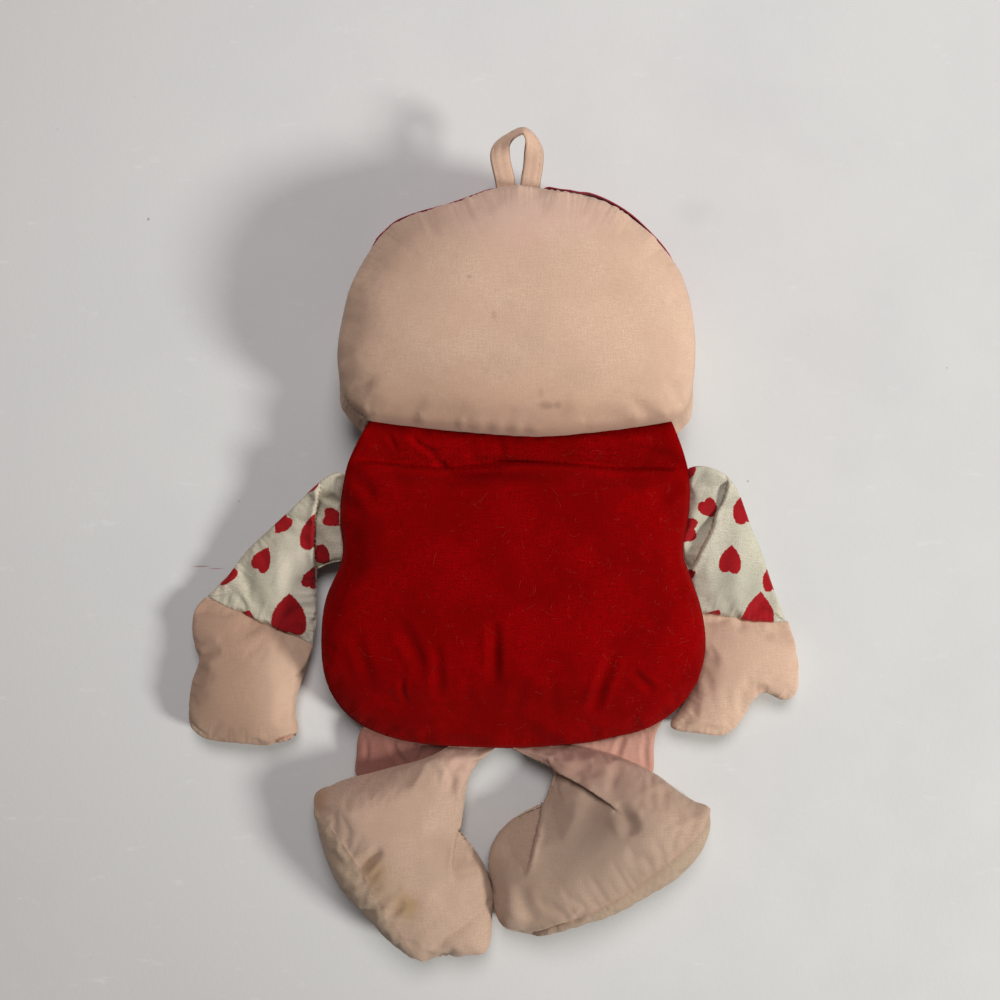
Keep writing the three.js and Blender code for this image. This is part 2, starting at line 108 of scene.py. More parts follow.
def alongLine(points, line, closed=False):
    # distance from a line, how far along it, and on which side: 1 is left of its direction
    start = line if closed else line[:-1]
    end = np.roll(line, -1, axis=0) if closed else line[1:]
    run = end - start
    size = np.maximum((run**2).sum(axis=1), 1e-12)
    offset = points[:, None, :] - start[None]
    share = np.clip((offset * run).sum(axis=2) / size, 0, 1)
    gap = np.linalg.norm(offset - share[:, :, None] * run[None], axis=2)
    near = gap.argmin(axis=1)
    pick = np.arange(len(points))
    lengths = np.sqrt(size)
    before = np.concatenate([[0], np.cumsum(lengths)[:-1]])
    cross = run[near, 0] * offset[pick, near, 1] - run[near, 1] * offset[pick, near, 0]
    return gap[pick, near], before[near] + share[pick, near] * lengths[near], np.sign(cross)


def outwardFrom(ring):
    # the way out of the ring at each of its points
    way = np.roll(ring, -1, axis=0) - np.roll(ring, 1, axis=0)
    way /= np.linalg.norm(way, axis=1)[:, None]
    following = np.roll(ring, -1, axis=0)
    turn = (ring[:, 0] * following[:, 1] - ring[:, 1] * following[:, 0]).sum()
    return np.stack([way[:, 1], -way[:, 0]], axis=1) * (1 if turn > 0 else -1)


def besideRing(ring, distance):
    # points that follow the ring at a distance inside it
    moved = ring - outwardFrom(ring) * distance
    return moved[insideRing(moved, ring) & (alongLine(moved, ring, True)[0] > 0.85 * distance)]


def runDown(places, heights, crown, ring):
    # how far the yarns run on outward, past their flat places, down the steep side of a pillow
    lengths = np.linalg.norm(np.roll(ring, -1, axis=0) - ring, axis=1)
    along = np.concatenate([[0], np.cumsum(lengths)])
    outward = outwardFrom(ring)
    outward = np.concatenate([outward, outward[:1]])
    run = alongLine(places, ring, True)[1]
    drop = np.abs(heights - crown)
    way = [np.interp(run, along, outward[:, 0]), np.interp(run, along, outward[:, 1]), 0 * run]
    return np.stack(way, axis=1) * (drop**2 / (drop + 6))[:, None]


def insideRing(points, ring):
    x, y = points[:, 0][:, None], points[:, 1][:, None]
    ax, ay = ring[:, 0][None], ring[:, 1][None]
    bx, by = np.roll(ring[:, 0], -1)[None], np.roll(ring[:, 1], -1)[None]
    crosses = (ay > y) != (by > y)
    paintedFloorShade = (bx - ax) / np.where(np.abs(by - ay) < 1e-12, 1e-12, by - ay)
    return ((crosses & (x < ax + (y - ay) * paintedFloorShade)).sum(axis=1) % 2) == 1


def ease(value, start, end):
    t = np.clip((np.asarray(value, float) - start) / (end - start), 0, 1)
    return t * t * (3 - 2 * t)


def ripple(s, seed, pitch):
    # an uneven wave from -1 to 1 along a length
    rng = np.random.default_rng(seed)
    total = np.zeros_like(s)
    for _ in range(5):
        total += np.sin(2 * math.pi * s / (pitch * rng.uniform(0.6, 2.2)) + rng.uniform(0, 6.3)) / 2.4
    return np.clip(total, -1, 1)


# Cutting and filling cloth

def cutPanel(ring, step, lines=()):
    # even triangles inside a ring, with edges along the lines sewn or folded into it
    lo, hi = ring.min(axis=0), ring.max(axis=0)
    rows = []
    for k, y in enumerate(np.arange(lo[1], hi[1], step * math.sqrt(3) / 2)):
        rows += [(x, y) for x in np.arange(lo[0] + (k % 2) * step / 2, hi[0], step)]
    inner = np.array(rows)
    inner = inner[insideRing(inner, ring) & (alongLine(inner, ring, True)[0] > 1.4 * step)]
    inner = np.concatenate([besideRing(ring, 0.35 * step), besideRing(ring, 0.9 * step), inner])
    points, edges = [*ring], []
    for line in lines:
        inner = inner[alongLine(inner, line)[0] > 0.55 * step]
        ids = []
        for q in line:
            gaps = np.linalg.norm(np.array(points) - q, axis=1)
            if gaps.min() < 0.3 * step:
                ids.append(int(gaps.argmin()))
            elif insideRing(q[None], ring)[0]:
                ids.append(len(points))
                points.append(q)
        edges += [(a, b) for a, b in zip(ids, ids[1:]) if a != b]
    points = [*points, *inner]
    made = delaunay_2d_cdt([Vector(q) for q in points], edges, [list(range(len(ring)))], 1, 1e-5)
    flat = np.array([tuple(v) for v in made[0]])
    source = [min(ids) if ids else -1 for ids in made[3]]
    order = {i: k for k, i in enumerate(source) if i >= 0}
    rim = [order[i] for i in range(len(ring)) if i in order]
    faces = [tuple(f) for f in made[2] if len(f) == 3]
    return {"flat": flat, "faces": faces, "rim": rim, "ring": ring}


def puff(panel):
    # how high even filling lifts each point, 0 at the rim and 1 at the fullest place, by
    # conjugate gradients over the panel's edges
    flat, faces = panel["flat"], np.array(panel["faces"])
    a = np.concatenate([faces[:, 0], faces[:, 1], faces[:, 2]])
    b = np.concatenate([faces[:, 1], faces[:, 2], faces[:, 0]])
    n = len(flat)
    free = np.ones(n)
    free[panel["rim"]] = 0
    degree = np.bincount(a, minlength=n) + np.bincount(b, minlength=n)

    def push(u):
        spread = np.bincount(a, weights=u[b], minlength=n) + np.bincount(b, weights=u[a], minlength=n)
        return (degree * u - spread) * free

    u = np.zeros(n)
    rest = free.copy()
    way = rest.copy()
    size = rest @ rest
    for _ in range(600):
        moved = push(way)
        pace = size / (way @ moved)
        u += pace * way
        rest -= pace * moved
        newSize = rest @ rest
        if newSize < 1e-10:
            break
        way = rest + newSize / size * way
        size = newSize
    return np.clip(u / u.max(), 0, 1)


def closePillow(panel, over, under, shift=None):
    # two layers of one cut, joined at the rim: over and under are heights, shift moves the lower layer
    flat, rim = panel["flat"], set(panel["rim"])
    n = len(flat)
    lower = np.full(n, -1)
    count = n
    for i in range(n):
        if i in rim:
            lower[i] = i
        else:
            lower[i] = count
            count += 1
    free = [i for i in range(n) if i not in rim]
    points = np.zeros((count, 3))
    points[:n, :2] = flat
    points[:n, 2] = over
    points[lower[free], :2] = flat[free] + (shift[free] if shift is not None else 0)
    points[lower[free], 2] = under[free]
    faces = [tuple(f) for f in panel["faces"]]
    faces += [tuple(int(lower[i]) for i in reversed(f)) for f in panel["faces"]]
    side = [0] * len(panel["faces"]) + [1] * len(panel["faces"])
    grain = np.zeros((count, 3))
    grain[:n, :2] = flat
    grain[lower[free], :2] = flat[free]
    grain[lower[free], 2] = cloth["under"]
    rim = list(panel["rim"])
    return {"points": points, "faces": faces, "side": side, "grain": grain, "rim": rim, "panel": panel}


def fillUp(form, pressure, slack, most, pinned=()):
    # blows the cloth up with its seams held, and lets no point move further than most
    start = form["points"].copy()
    ob = addObject("filling", (start * cloth["scale"]).tolist(), form["faces"], smooth=False)
    held = ob.vertex_groups.new(name="held")
    held.add([int(i) for i in (*form["rim"], *pinned)], 1.0, "REPLACE")
    modifier = ob.modifiers.new("cloth", "CLOTH")
    settings = modifier.settings
    settings.vertex_group_mass = "held"
    settings.quality = 6
    settings.mass = 0.2
    settings.air_damping = 4
    settings.tension_stiffness = 25
    settings.compression_stiffness = 25
    settings.shear_stiffness = 12
    settings.bending_stiffness = 0.02
    settings.tension_damping = 12
    settings.compression_damping = 12
    settings.use_pressure = True
    settings.uniform_pressure_force = pressure
    settings.shrink_min = -slack
    settings.effector_weights.gravity = 0
    modifier.collision_settings.use_collision = False
    modifier.point_cache.frame_start = 1
    modifier.point_cache.frame_end = cloth["frames"]
    scene = bpy.context.scene
    for frameNumber in range(1, cloth["frames"] + 1):
        scene.frame_set(frameNumber)
    blown = ob.evaluated_get(bpy.context.evaluated_depsgraph_get()).to_mesh()
    moved = np.zeros(len(start) * 3)
    blown.vertices.foreach_get("co", moved)
    moved = moved.reshape(-1, 3) / cloth["scale"] - start
    reach = np.linalg.norm(moved, axis=1)
    moved *= (np.minimum(reach, most) / np.maximum(reach, 1e-9))[:, None]
    form["points"] = start + moved
    keepOffFloor(form, 0.4)
    scene.frame_set(1)
    bpy.data.meshes.remove(ob.data)
    print("  filled", len(start), "points, furthest move", round(float(reach.max()), 2), "mm")


def smoothForm(form, creased=()):
    # one rounder mesh from the form, with its cloth places kept on its points
    ob = addObject("form", form["points"].tolist(), form["faces"], smooth=False)
    mesh = ob.data
    mesh.polygons.foreach_set("material_index", form["side"])
    grain = mesh.attributes.new("grain", "FLOAT_VECTOR", "POINT")
    grain.data.foreach_set("vector", form["grain"].ravel())
    rim = form["rim"]
    sharp = {frozenset(e) for e in zip(rim, [*rim[1:], rim[0]])}
    for line in creased:
        sharp |= {frozenset(e) for e in zip(line, line[1:])}
    crease = mesh.attributes.new("crease_edge", "FLOAT", "EDGE")
    crease.data.foreach_set("value", [0.9 if frozenset(e.vertices) in sharp else 0.0 for e in mesh.edges])
    modifier = ob.modifiers.new("rounder", "SUBSURF")
    modifier.levels = 1
    modifier.render_levels = 1
    rounder = bpy.data.meshes.new_from_object(ob.evaluated_get(bpy.context.evaluated_depsgraph_get()))
    made = {"faces": [tuple(f.vertices) for f in rounder.polygons], "panel": form["panel"]}
    for key, rows, label in (
        ("points", rounder.vertices, "co"),
        ("normals", rounder.vertices, "normal"),
        ("grain", rounder.attributes["grain"].data, "vector"),
    ):
        values = np.zeros(len(rows) * 3)
        rows.foreach_get(label, values)
        made[key] = values.reshape(-1, 3)
    made["side"] = np.zeros(len(rounder.polygons), int)
    rounder.polygons.foreach_get("material_index", made["side"])
    for used in (mesh, rounder):
        bpy.data.meshes.remove(used)
    return made


def sewOn(name, form, side, seamLine, material, closed=True, pull=None):
    # the object of one side of a form; pull says how hard its seam's thread draws it, 0 to 1
    chosen = [f for f, s in zip(form["faces"], form["side"]) if s == side]
    used = sorted({i for f in chosen for i in f})
    place = {i: k for k, i in enumerate(used)}
    faces = [tuple(place[i] for i in f) for f in chosen]
    ob = addObject(name, (form["points"][used] * mm).tolist(), faces)
    grain = form["grain"][used]
    gap, run, _ = alongLine(grain[:, :2], seamLine, closed)
    drawn = pull(grain) if pull else 1 + 0 * gap
    places = {"grain": grain * mm, "seam": np.stack([gap * mm, run * mm, drawn], axis=1)}
    if closed:
        heights = form["points"][used][:, 2]
        crown = heights.min() if side else heights.max()
        places["drape"] = runDown(grain[:, :2], heights, crown, seamLine) * mm
    addPlaces(ob.data, places)
    ob.data.materials.append(material)
    return ob


def addPlaces(mesh, places):
    # grain is the cloth's own flat place, seam its distance from and along a seam and how hard that
    # seam draws it, and drape how far the yarns have run on down a steep side
    for name, values in places.items():
        attribute = mesh.attributes.new(name, "FLOAT_VECTOR", "POINT")
        attribute.data.foreach_set("vector", np.asarray(values, np.float32).ravel())


# Folds and puckers, pressed into a form's finer points

def pressValley(form, line, width, depth):
    # a soft valley along a line of the top cloth, fading at both its ends
    line = curveThrough(line, 1.5)
    gap, run, _ = alongLine(form["grain"][:, :2], line)
    length = np.linalg.norm(np.diff(line, axis=0), axis=1).sum()
    fade = np.sin(math.pi * np.clip(run / length, 0, 1)) ** 0.6
    fade *= ease(gap, width * 3, width * 1.5)
    shape = np.exp(-((gap / width) ** 2)) - 0.35 * np.exp(-(((gap - 1.8 * width) / (0.8 * width)) ** 2))
    onTop = form["grain"][:, 2] <= 1
    form["points"] -= form["normals"] * (depth * fade * shape * onTop)[:, None]


def foldLines(creases, gap=0.6):
    # a line of points on either side of each fold, so that it comes out sharp
    lines = []
    for crease in creases:
        line = curveThrough(crease[0], cloth["step"] * 0.8)
        way = np.gradient(line, axis=0)
        way /= np.linalg.norm(way, axis=1)[:, None]
        square = np.stack([-way[:, 1], way[:, 0]], axis=1)
        lines += [line + square * gap, line - square * gap]
    return lines


def pressStep(form, line, drop, reach, side, ends, tuck):
    # cloth folded over its neighbour: it falls away on one side of the line, runs back under
    # the fold, and rises again beyond
    line = curveThrough(line, 1.5)
    place = form["grain"][:, :2]
    gap, run, facing = alongLine(place, line)
    pieces = np.linalg.norm(np.diff(line, axis=0), axis=1)
    length = pieces.sum()
    fade = ease(run, 0, max(ends[0], 0.01)) * ease(length - run, 0, max(ends[1], 0.01))
    fade *= form["grain"][:, 2] < 1
    signed = gap * facing * side
    fall = ease(signed, -0.5, 0.55) * np.exp(-np.maximum(signed - 0.6, 0) / reach)
    lip = 0.2 * np.exp(-(((signed + 0.8) / 1.6) ** 2))
    form["points"][:, 2] -= drop * fade * (fall - lip)
    steps = np.concatenate([[0], np.cumsum(pieces)])
    near = np.stack([np.interp(run, steps, line[:, i]) for i in (0, 1)], axis=1)
    away = (place - near) / np.maximum(gap, 0.2)[:, None]
    back = tuck * fade * (signed > 0.25) * np.exp(-np.maximum(signed - 0.6, 0) / 2.5)
    form["points"][:, :2] -= away * back[:, None]


def pressFolds(form, spec, reach=9.0, tuck=1.6):
    # a panel's own folds: where it is folded over itself, then its soft valleys
    for line, drop, facing, ends in spec.get("creases", ()):
        pressStep(form, line, drop, reach, side=facing, ends=ends, tuck=tuck)
    for line, width, depth in spec["valleys"]:
        pressValley(form, line, width, depth)


def gatherAt(form, line, pitch, reach, depth, seed, closed=False, where=None, layer=0):
    # short puckers square to a seam
    gap, run, _ = alongLine(form["grain"][:, :2], line, closed)
    phase = run / pitch + 0.7 * ripple(run, seed, pitch * 4)
    strength = 0.55 + 0.45 * ripple(run, seed + 1, pitch * 6)
    tail = reach * (0.75 + 0.4 * ripple(run, seed + 2, pitch * 3))
    wave = (0.5 - 0.5 * np.cos(2 * math.pi * phase)) ** 1.5
    amount = depth * strength * wave * np.exp(-gap / tail) * ease(gap, 0, 0.8)
    if where is not None:
        amount *= where(form["grain"])
    amount *= (form["grain"][:, 2] > 1) == bool(layer)
    form["points"] -= form["normals"] * amount[:, None]


def crumple(form, pitch, depth, seed):
    # slow, uneven lumps of filling under the cloth, which stays off the floor
    x, y = form["grain"][:, 0], form["grain"][:, 1]
    rng = np.random.default_rng(seed)
    total = np.zeros(len(x))
    for _ in range(9):
        turn = rng.uniform(0, math.pi)
        size = pitch * rng.uniform(0.7, 1.9)
        wave = (x * math.cos(turn) + y * math.sin(turn)) / size + rng.uniform(0, 1)
        total += np.sin(2 * math.pi * wave + 1.4 * np.sin(x / size * 1.7 + y / size)) / 3
    form["points"] += form["normals"] * (depth * total)[:, None]
    keepOffFloor(form, 0.3)


def keepOffFloor(form, lowest):
    form["points"][:, 2] = np.maximum(form["points"][:, 2], lowest)


# Materials

def newGroup(name, inputs, outputs):
    tree = bpy.data.node_groups.new(name, "ShaderNodeTree")
    for label, kind, value in inputs:
        socket = tree.interface.new_socket(name=label, in_out="INPUT", socket_type="NodeSocket" + kind)
        if value is not None:
            socket.default_value = value
    for label, kind in outputs:
        tree.interface.new_socket(name=label, in_out="OUTPUT", socket_type="NodeSocket" + kind)
    return tree, tree.nodes.new("NodeGroupInput").outputs, tree.nodes.new("NodeGroupOutput").inputs


def addNode(tree, kind, feeds, **settings):
    node = tree.nodes.new("ShaderNode" + kind)
    for key, value in settings.items():
        setattr(node, key, value)
    feed(tree, node, feeds)
    return node


def feed(tree, node, feeds):
    # wires sockets into a node's inputs, and sets the inputs that get a plain value
    for key, value in feeds.items():
        if isinstance(value, bpy.types.NodeSocket):
            tree.links.new(value, node.inputs[key])
        else:
            node.inputs[key].default_value = value


def calc(tree, operation, *values):
    return addNode(tree, "Math", dict(enumerate(values)), operation=operation).outputs[0]


def vectorCalc(tree, operation, *values):
    return addNode(tree, "VectorMath", dict(enumerate(values)), operation=operation).outputs[0]


def scaled(tree, vector, amount):
    return addNode(tree, "VectorMath", {0: vector, "Scale": amount}, operation="SCALE").outputs[0]


def noiseAt(tree, vector, scale, detail=2.0, roughness=0.5):
    feeds = {"Vector": vector, "Scale": scale, "Detail": detail, "Roughness": roughness}
    return addNode(tree, "TexNoise", feeds).outputs[0]


def between(tree, value, low, high, toLow=0.0, toHigh=1.0):
    feeds = {"Value": value, "From Min": low, "From Max": high, "To Min": toLow, "To Max": toHigh}
    return addNode(tree, "MapRange", feeds, interpolation_type="SMOOTHSTEP").outputs[0]


def mixed(tree, share, first, second):
    # two colours mixed; the sockets for them are the node's inputs 6 and 7
    feeds = {0: share, 6: first, 7: second}
    feeds = {key: (*value, 1.0) if isinstance(value, tuple) else value for key, value in feeds.items()}
    return addNode(tree, "Mix", feeds, data_type="RGBA").outputs[2]


def weaveGroup():
    # plain weave: warp and weft over and under each other, with thick and thin places in the yarn
    tree, given, out = newGroup(
        "plain weave",
        [("Grain", "Vector", None), ("Yarn", "Float", 0.00045)],
        [("Height", "Float"), ("Slubs", "Float"), ("Mottle", "Float")],
    )
    perYarn = calc(tree, "DIVIDE", 1.0, given["Yarn"])
    place = scaled(tree, given["Grain"], perYarn)
    parts = addNode(tree, "SeparateXYZ", {0: place}).outputs
    warp = calc(tree, "SINE", calc(tree, "MULTIPLY", parts[0], math.pi))
    weft = calc(tree, "SINE", calc(tree, "MULTIPLY", parts[1], math.pi))
    crossing = calc(tree, "MULTIPLY_ADD", calc(tree, "MULTIPLY", warp, weft), 0.5, 0.5)
    across = noiseAt(tree, vectorCalc(tree, "MULTIPLY", place, (0.09, 0.8, 1.0)), 1.0, 3.0, 0.6)
    down = noiseAt(tree, vectorCalc(tree, "MULTIPLY", place, (0.8, 0.09, 1.0)), 1.0, 3.0, 0.6)
    slubs = calc(tree, "MULTIPLY", calc(tree, "ADD", across, down), 0.5)
    grainy = noiseAt(tree, place, 1.1, 2.0, 0.6)
    speckle = calc(tree, "ADD", calc(tree, "MULTIPLY", slubs, 0.4), calc(tree, "MULTIPLY", grainy, 0.6))
    height = calc(tree, "ADD", calc(tree, "MULTIPLY", crossing, 0.45), calc(tree, "MULTIPLY", speckle, 0.8))
    tree.links.new(height, out["Height"])
    tree.links.new(speckle, out["Slubs"])
    tree.links.new(noiseAt(tree, given["Grain"], 38.0, 3.0, 0.55), out["Mottle"])
    return tree


def stainGroup():
    # a blotch with a ragged edge
    tree, given, out = newGroup(
        "blotch",
        [
            ("Grain", "Vector", None),
            ("Place", "Vector", None),
            ("Reach", "Float", 0.01),
            ("Stretch", "Vector", (1, 1, 1)),
        ],
        [("Mask", "Float")],
    )
    offset = vectorCalc(tree, "SUBTRACT", given["Grain"], given["Place"])
    offset = vectorCalc(tree, "MULTIPLY", offset, given["Stretch"])
    distance = addNode(tree, "VectorMath", {0: offset}, operation="LENGTH").outputs["Value"]
    ragged = calc(tree, "MULTIPLY_ADD", noiseAt(tree, given["Grain"], 260.0, 4.0, 0.6), 0.9, 0.55)
    share = calc(tree, "DIVIDE", calc(tree, "MULTIPLY", distance, ragged), given["Reach"])
    tree.links.new(between(tree, share, 1.0, 0.1), out["Mask"])
    return tree


def heartGroup():
    # one printed heart, its point along +y before it is turned, its edge stepped by the yarn
    tree, given, out = newGroup(
        "printed heart",
        [
            ("Grain", "Vector", None),
            ("Place", "Vector", None),
            ("Wide", "Float", 0.015),
            ("Tall", "Float", 0.02),
            ("Turn", "Float", 0.0),
        ],
        [("Mask", "Float")],
    )
    wander = addNode(tree, "TexNoise", {"Vector": given["Grain"], "Scale": 900.0, "Detail": 1.0}).outputs[1]
    stepped = scaled(tree, vectorCalc(tree, "SUBTRACT", wander, (0.5, 0.5, 0.5)), 0.0009)
    offset = vectorCalc(tree, "ADD", vectorCalc(tree, "SUBTRACT", given["Grain"], given["Place"]), stepped)
    feeds = {"Vector": offset, "Angle": given["Turn"]}
    turned = addNode(tree, "VectorRotate", feeds, rotation_type="Z_AXIS").outputs[0]
    parts = addNode(tree, "SeparateXYZ", {0: turned}).outputs
    x = calc(tree, "ABSOLUTE", calc(tree, "DIVIDE", parts[0], calc(tree, "MULTIPLY", given["Wide"], 0.5)))
    y = calc(tree, "DIVIDE", parts[1], calc(tree, "MULTIPLY", given["Tall"], -0.5))
    lobes = calc(tree, "MULTIPLY", calc(tree, "POWER", x, 0.8), -0.55)
    lifted = calc(tree, "ADD", calc(tree, "MULTIPLY_ADD", y, 1.12, 0.12), lobes)
    around = calc(tree, "ADD", calc(tree, "MULTIPLY", x, x), calc(tree, "MULTIPLY", lifted, lifted))
    tree.links.new(between(tree, around, 1.08, 0.92), out["Mask"])
    return tree


def puckerGroup():
    # drawn yarn beside a line of stitches, and the stitches' own dimples
    tree, given, out = newGroup(
        "stitch pull",
        [("Seam", "Vector", None), ("Stitch", "Float", 0.0026), ("Reach", "Float", 0.006)],
        [("Height", "Float"), ("Shade", "Float")],
    )
    parts = addNode(tree, "SeparateXYZ", {0: given["Seam"]}).outputs
    reaches = calc(tree, "DIVIDE", parts[0], given["Reach"])
    fade = calc(tree, "EXPONENT", calc(tree, "MULTIPLY", reaches, -1.0))
    fade = calc(tree, "MULTIPLY", fade, parts[2])
    along = calc(tree, "DIVIDE", parts[1], given["Stitch"])
    feeds = {"W": along, "Scale": 0.9, "Detail": 2.0}
    drawn = addNode(tree, "TexNoise", feeds, noise_dimensions="1D").outputs[0]
    beat = calc(tree, "SINE", calc(tree, "MULTIPLY", along, 2 * math.pi))
    pull = calc(tree, "MULTIPLY_ADD", beat, 0.12, drawn)
    tree.links.new(calc(tree, "MULTIPLY", pull, fade), out["Height"])
    tree.links.new(between(tree, parts[0], 0.0011, 0.0), out["Shade"])
    return tree


groups = {"weave": weaveGroup(), "stainAndPaintedLight": stainGroup(), "heart": heartGroup(), "pucker": puckerGroup()}


def useGroup(tree, name, feeds):
    return addNode(tree, "Group", feeds, node_tree=groups[name]).outputs


def stainAndPaintedLight(place, reach, strength, colour, stretch=(1, 1), layer=0):
    # a mark on a cloth and the colour that it turns to: real stains, and painted shade and painted light
    # too; layer is cloth["under"] on a lower cloth
    values = (place, reach, strength, colour, stretch, layer)
    return dict(zip(("place", "reach", "strength", "colour", "stretch", "layer"), values))


def cottonCloth(name, look, stainsAndPaintedLight=(), hearts=()):
    material = bpy.data.materials.new(name)
    material.use_nodes = True
    tree = material.node_tree
    shader = tree.nodes["Principled BSDF"]
    grain = addNode(tree, "Attribute", {}, attribute_name="grain").outputs["Vector"]
    seam = addNode(tree, "Attribute", {}, attribute_name="seam").outputs["Vector"]
    drape = addNode(tree, "Attribute", {}, attribute_name="drape").outputs["Vector"]
    yarns = vectorCalc(tree, "ADD", grain, drape)
    weave = useGroup(tree, "weave", {"Grain": yarns, "Yarn": look["yarn"] * mm})
    feeds = {"Seam": seam, "Stitch": look["stitch"] * mm, "Reach": look["pull"] * mm}
    pucker = useGroup(tree, "pucker", feeds)
    colour = mixed(tree, between(tree, weave["Slubs"], 0.395, 0.605), look["darkYarn"], look["lightYarn"])
    mottle = between(tree, weave["Mottle"], 0.62, 0.36, 0.0, look["mottle"])
    colour = mixed(tree, mottle, colour, look["mottled"])
    printed = 0.0
    for place, tall, turn in hearts:
        feeds = {
            "Grain": grain,
            "Place": Vector((*place, 0)) * mm,
            "Wide": tall * 0.77 * mm,
            "Tall": tall * mm,
            "Turn": math.radians(turn),
        }
        mask = useGroup(tree, "heart", feeds)["Mask"]
        faded = calc(tree, "MULTIPLY", mask, between(tree, weave["Slubs"], 0.2, 0.5, 0.9, 1.0))
        colour = mixed(tree, faded, colour, look["print"])
        printed = calc(tree, "MAXIMUM", printed, mask)
    bare = calc(tree, "MULTIPLY_ADD", printed, -1.0, 1.0)
    # real stains, and marks of painted shade and painted light
    for mark in stainsAndPaintedLight:
        feeds = {
            "Grain": grain,
            "Place": Vector((*mark["place"], mark["layer"])) * mm,
            "Reach": mark["reach"] * mm,
            "Stretch": (*mark["stretch"], 1),
        }
        mask = calc(tree, "MULTIPLY", useGroup(tree, "stainAndPaintedLight", feeds)["Mask"], mark["strength"])
        mask = calc(tree, "MULTIPLY", mask, bare) if hearts else mask
        colour = mixed(tree, mask, colour, mark["colour"])
    soiled = calc(tree, "MULTIPLY", pucker["Shade"], look["seamSoil"])
    colour = mixed(tree, soiled, colour, look["seamColour"])
    tree.links.new(colour, shader.inputs["Base Color"])
    rough = between(tree, weave["Slubs"], 0.3, 0.7, look["rough"] - 0.06, look["rough"] + 0.04)
    tree.links.new(rough, shader.inputs["Roughness"])
    height = calc(tree, "MULTIPLY", weave["Height"], look["weaveDepth"] * mm)
    height = calc(tree, "ADD", height, calc(tree, "MULTIPLY", pucker["Height"], look["pullDepth"] * mm))
    bump = addNode(tree, "Bump", {"Height": height, "Strength": 1.0, "Distance": 1.0})
    tree.links.new(bump.outputs[0], shader.inputs["Normal"])
    shader.inputs["Specular IOR Level"].default_value = look["shine"]
    shader.inputs["Sheen Weight"].default_value = look["sheen"]
    shader.inputs["Sheen Roughness"].default_value = 0.55
    shader.inputs["Sheen Tint"].default_value = (*look["sheenTint"], 1)
    return material


# the yarn, the stitch and the depths of a look are in mm
peachLook = {
    "yarn": 0.5,
    "stitch": 2.6,
    "pull": 5.0,
    "darkYarn": (0.54, 0.355, 0.25),
    "lightYarn": (0.69, 0.485, 0.355),
    "mottle": 0.45,
    "mottled": (0.56, 0.36, 0.262),
    "seamSoil": 0.35,
    "seamColour": (0.40, 0.25, 0.18),
    "rough": 0.9,
    "weaveDepth": 0.05,
    "pullDepth": 0.5,
    "shine": 0.12,
    "sheen": 0.12,
    "sheenTint": (1.0, 0.93, 0.88),
}
redLook = {
    **peachLook,
    "yarn": 0.55,
    "pull": 6.0,
    "darkYarn": (0.145, 0.0, 0.0),
    "lightYarn": (0.295, 0.0, 0.001),
    "mottle": 0.6,
    "mottled": (0.145, 0.0, 0.0),
    "seamSoil": 0.3,
    "seamColour": (0.12, 0.0, 0.0),
    "weaveDepth": 0.06,
    "pullDepth": 0.6,
    "shine": 0.02,
    "sheen": 0.08,
    "sheenTint": (1.0, 0.12, 0.10),
}
sleeveLook = {
    **peachLook,
    "yarn": 0.6,
    "darkYarn": (0.44, 0.395, 0.30),
    "lightYarn": (0.66, 0.625, 0.51),
    "mottle": 0.5,
    "mottled": (0.44, 0.43, 0.33),
    "print": (0.31, 0.004, 0.008),
    "sheen": 0.05,
    "seamSoil": 0.15,
    "seamColour": (0.40, 0.35, 0.27),
    "weaveDepth": 0.07,
    "sheenTint": (1.0, 1.0, 0.95),
}
hairLook = {
    **peachLook,
    "darkYarn": (0.26, 0.025, 0.045),
    "lightYarn": (0.40, 0.05, 0.075),
    "mottled": (0.24, 0.022, 0.04),
    "seamColour": (0.07, 0.006, 0.01),
    "sheen": 0.1,
}
footLook = {
    **peachLook,
    "darkYarn": (0.40, 0.27, 0.195),
    "lightYarn": (0.51, 0.36, 0.27),
    "mottled": (0.38, 0.265, 0.19),
    "mottle": 0.6,
    "pullDepth": 0.14,
    "seamSoil": 0.45,
}
soleLook = {
    **footLook,
    "darkYarn": (0.33, 0.235, 0.16),
    "lightYarn": (0.45, 0.335, 0.24),
}
legLook = {
    **footLook,
    "darkYarn": (0.44, 0.225, 0.17),
    "lightYarn": (0.55, 0.305, 0.235),
    "mottled": (0.43, 0.21, 0.155),
}
# painted shade: a darker copy of the foot look for the left leg, shaded by the body and the left foot's fold
shadedLeftLegLook = {
    **footLook,
    "darkYarn": (0.22, 0.09, 0.07),
    "lightYarn": (0.29, 0.125, 0.098),
    "mottled": (0.21, 0.085, 0.066),
}
# painted shade: a darker copy of the peach look for the left hand, which the body shades
shadedLeftHandLook = {
    **peachLook,
    "darkYarn": (0.365, 0.225, 0.155),
    "lightYarn": (0.475, 0.305, 0.22),
    "mottled": (0.37, 0.23, 0.16),
}
leftSleeveLook = {
    **sleeveLook,
    "darkYarn": (0.47, 0.405, 0.305),
    "lightYarn": (0.68, 0.62, 0.50),
    "mottled": (0.44, 0.42, 0.31),
    "print": (0.31, 0.005, 0.009),
}
loopLook = {**peachLook, "yarn": 0.4, "seamSoil": 0.5, "pull": 1.5}


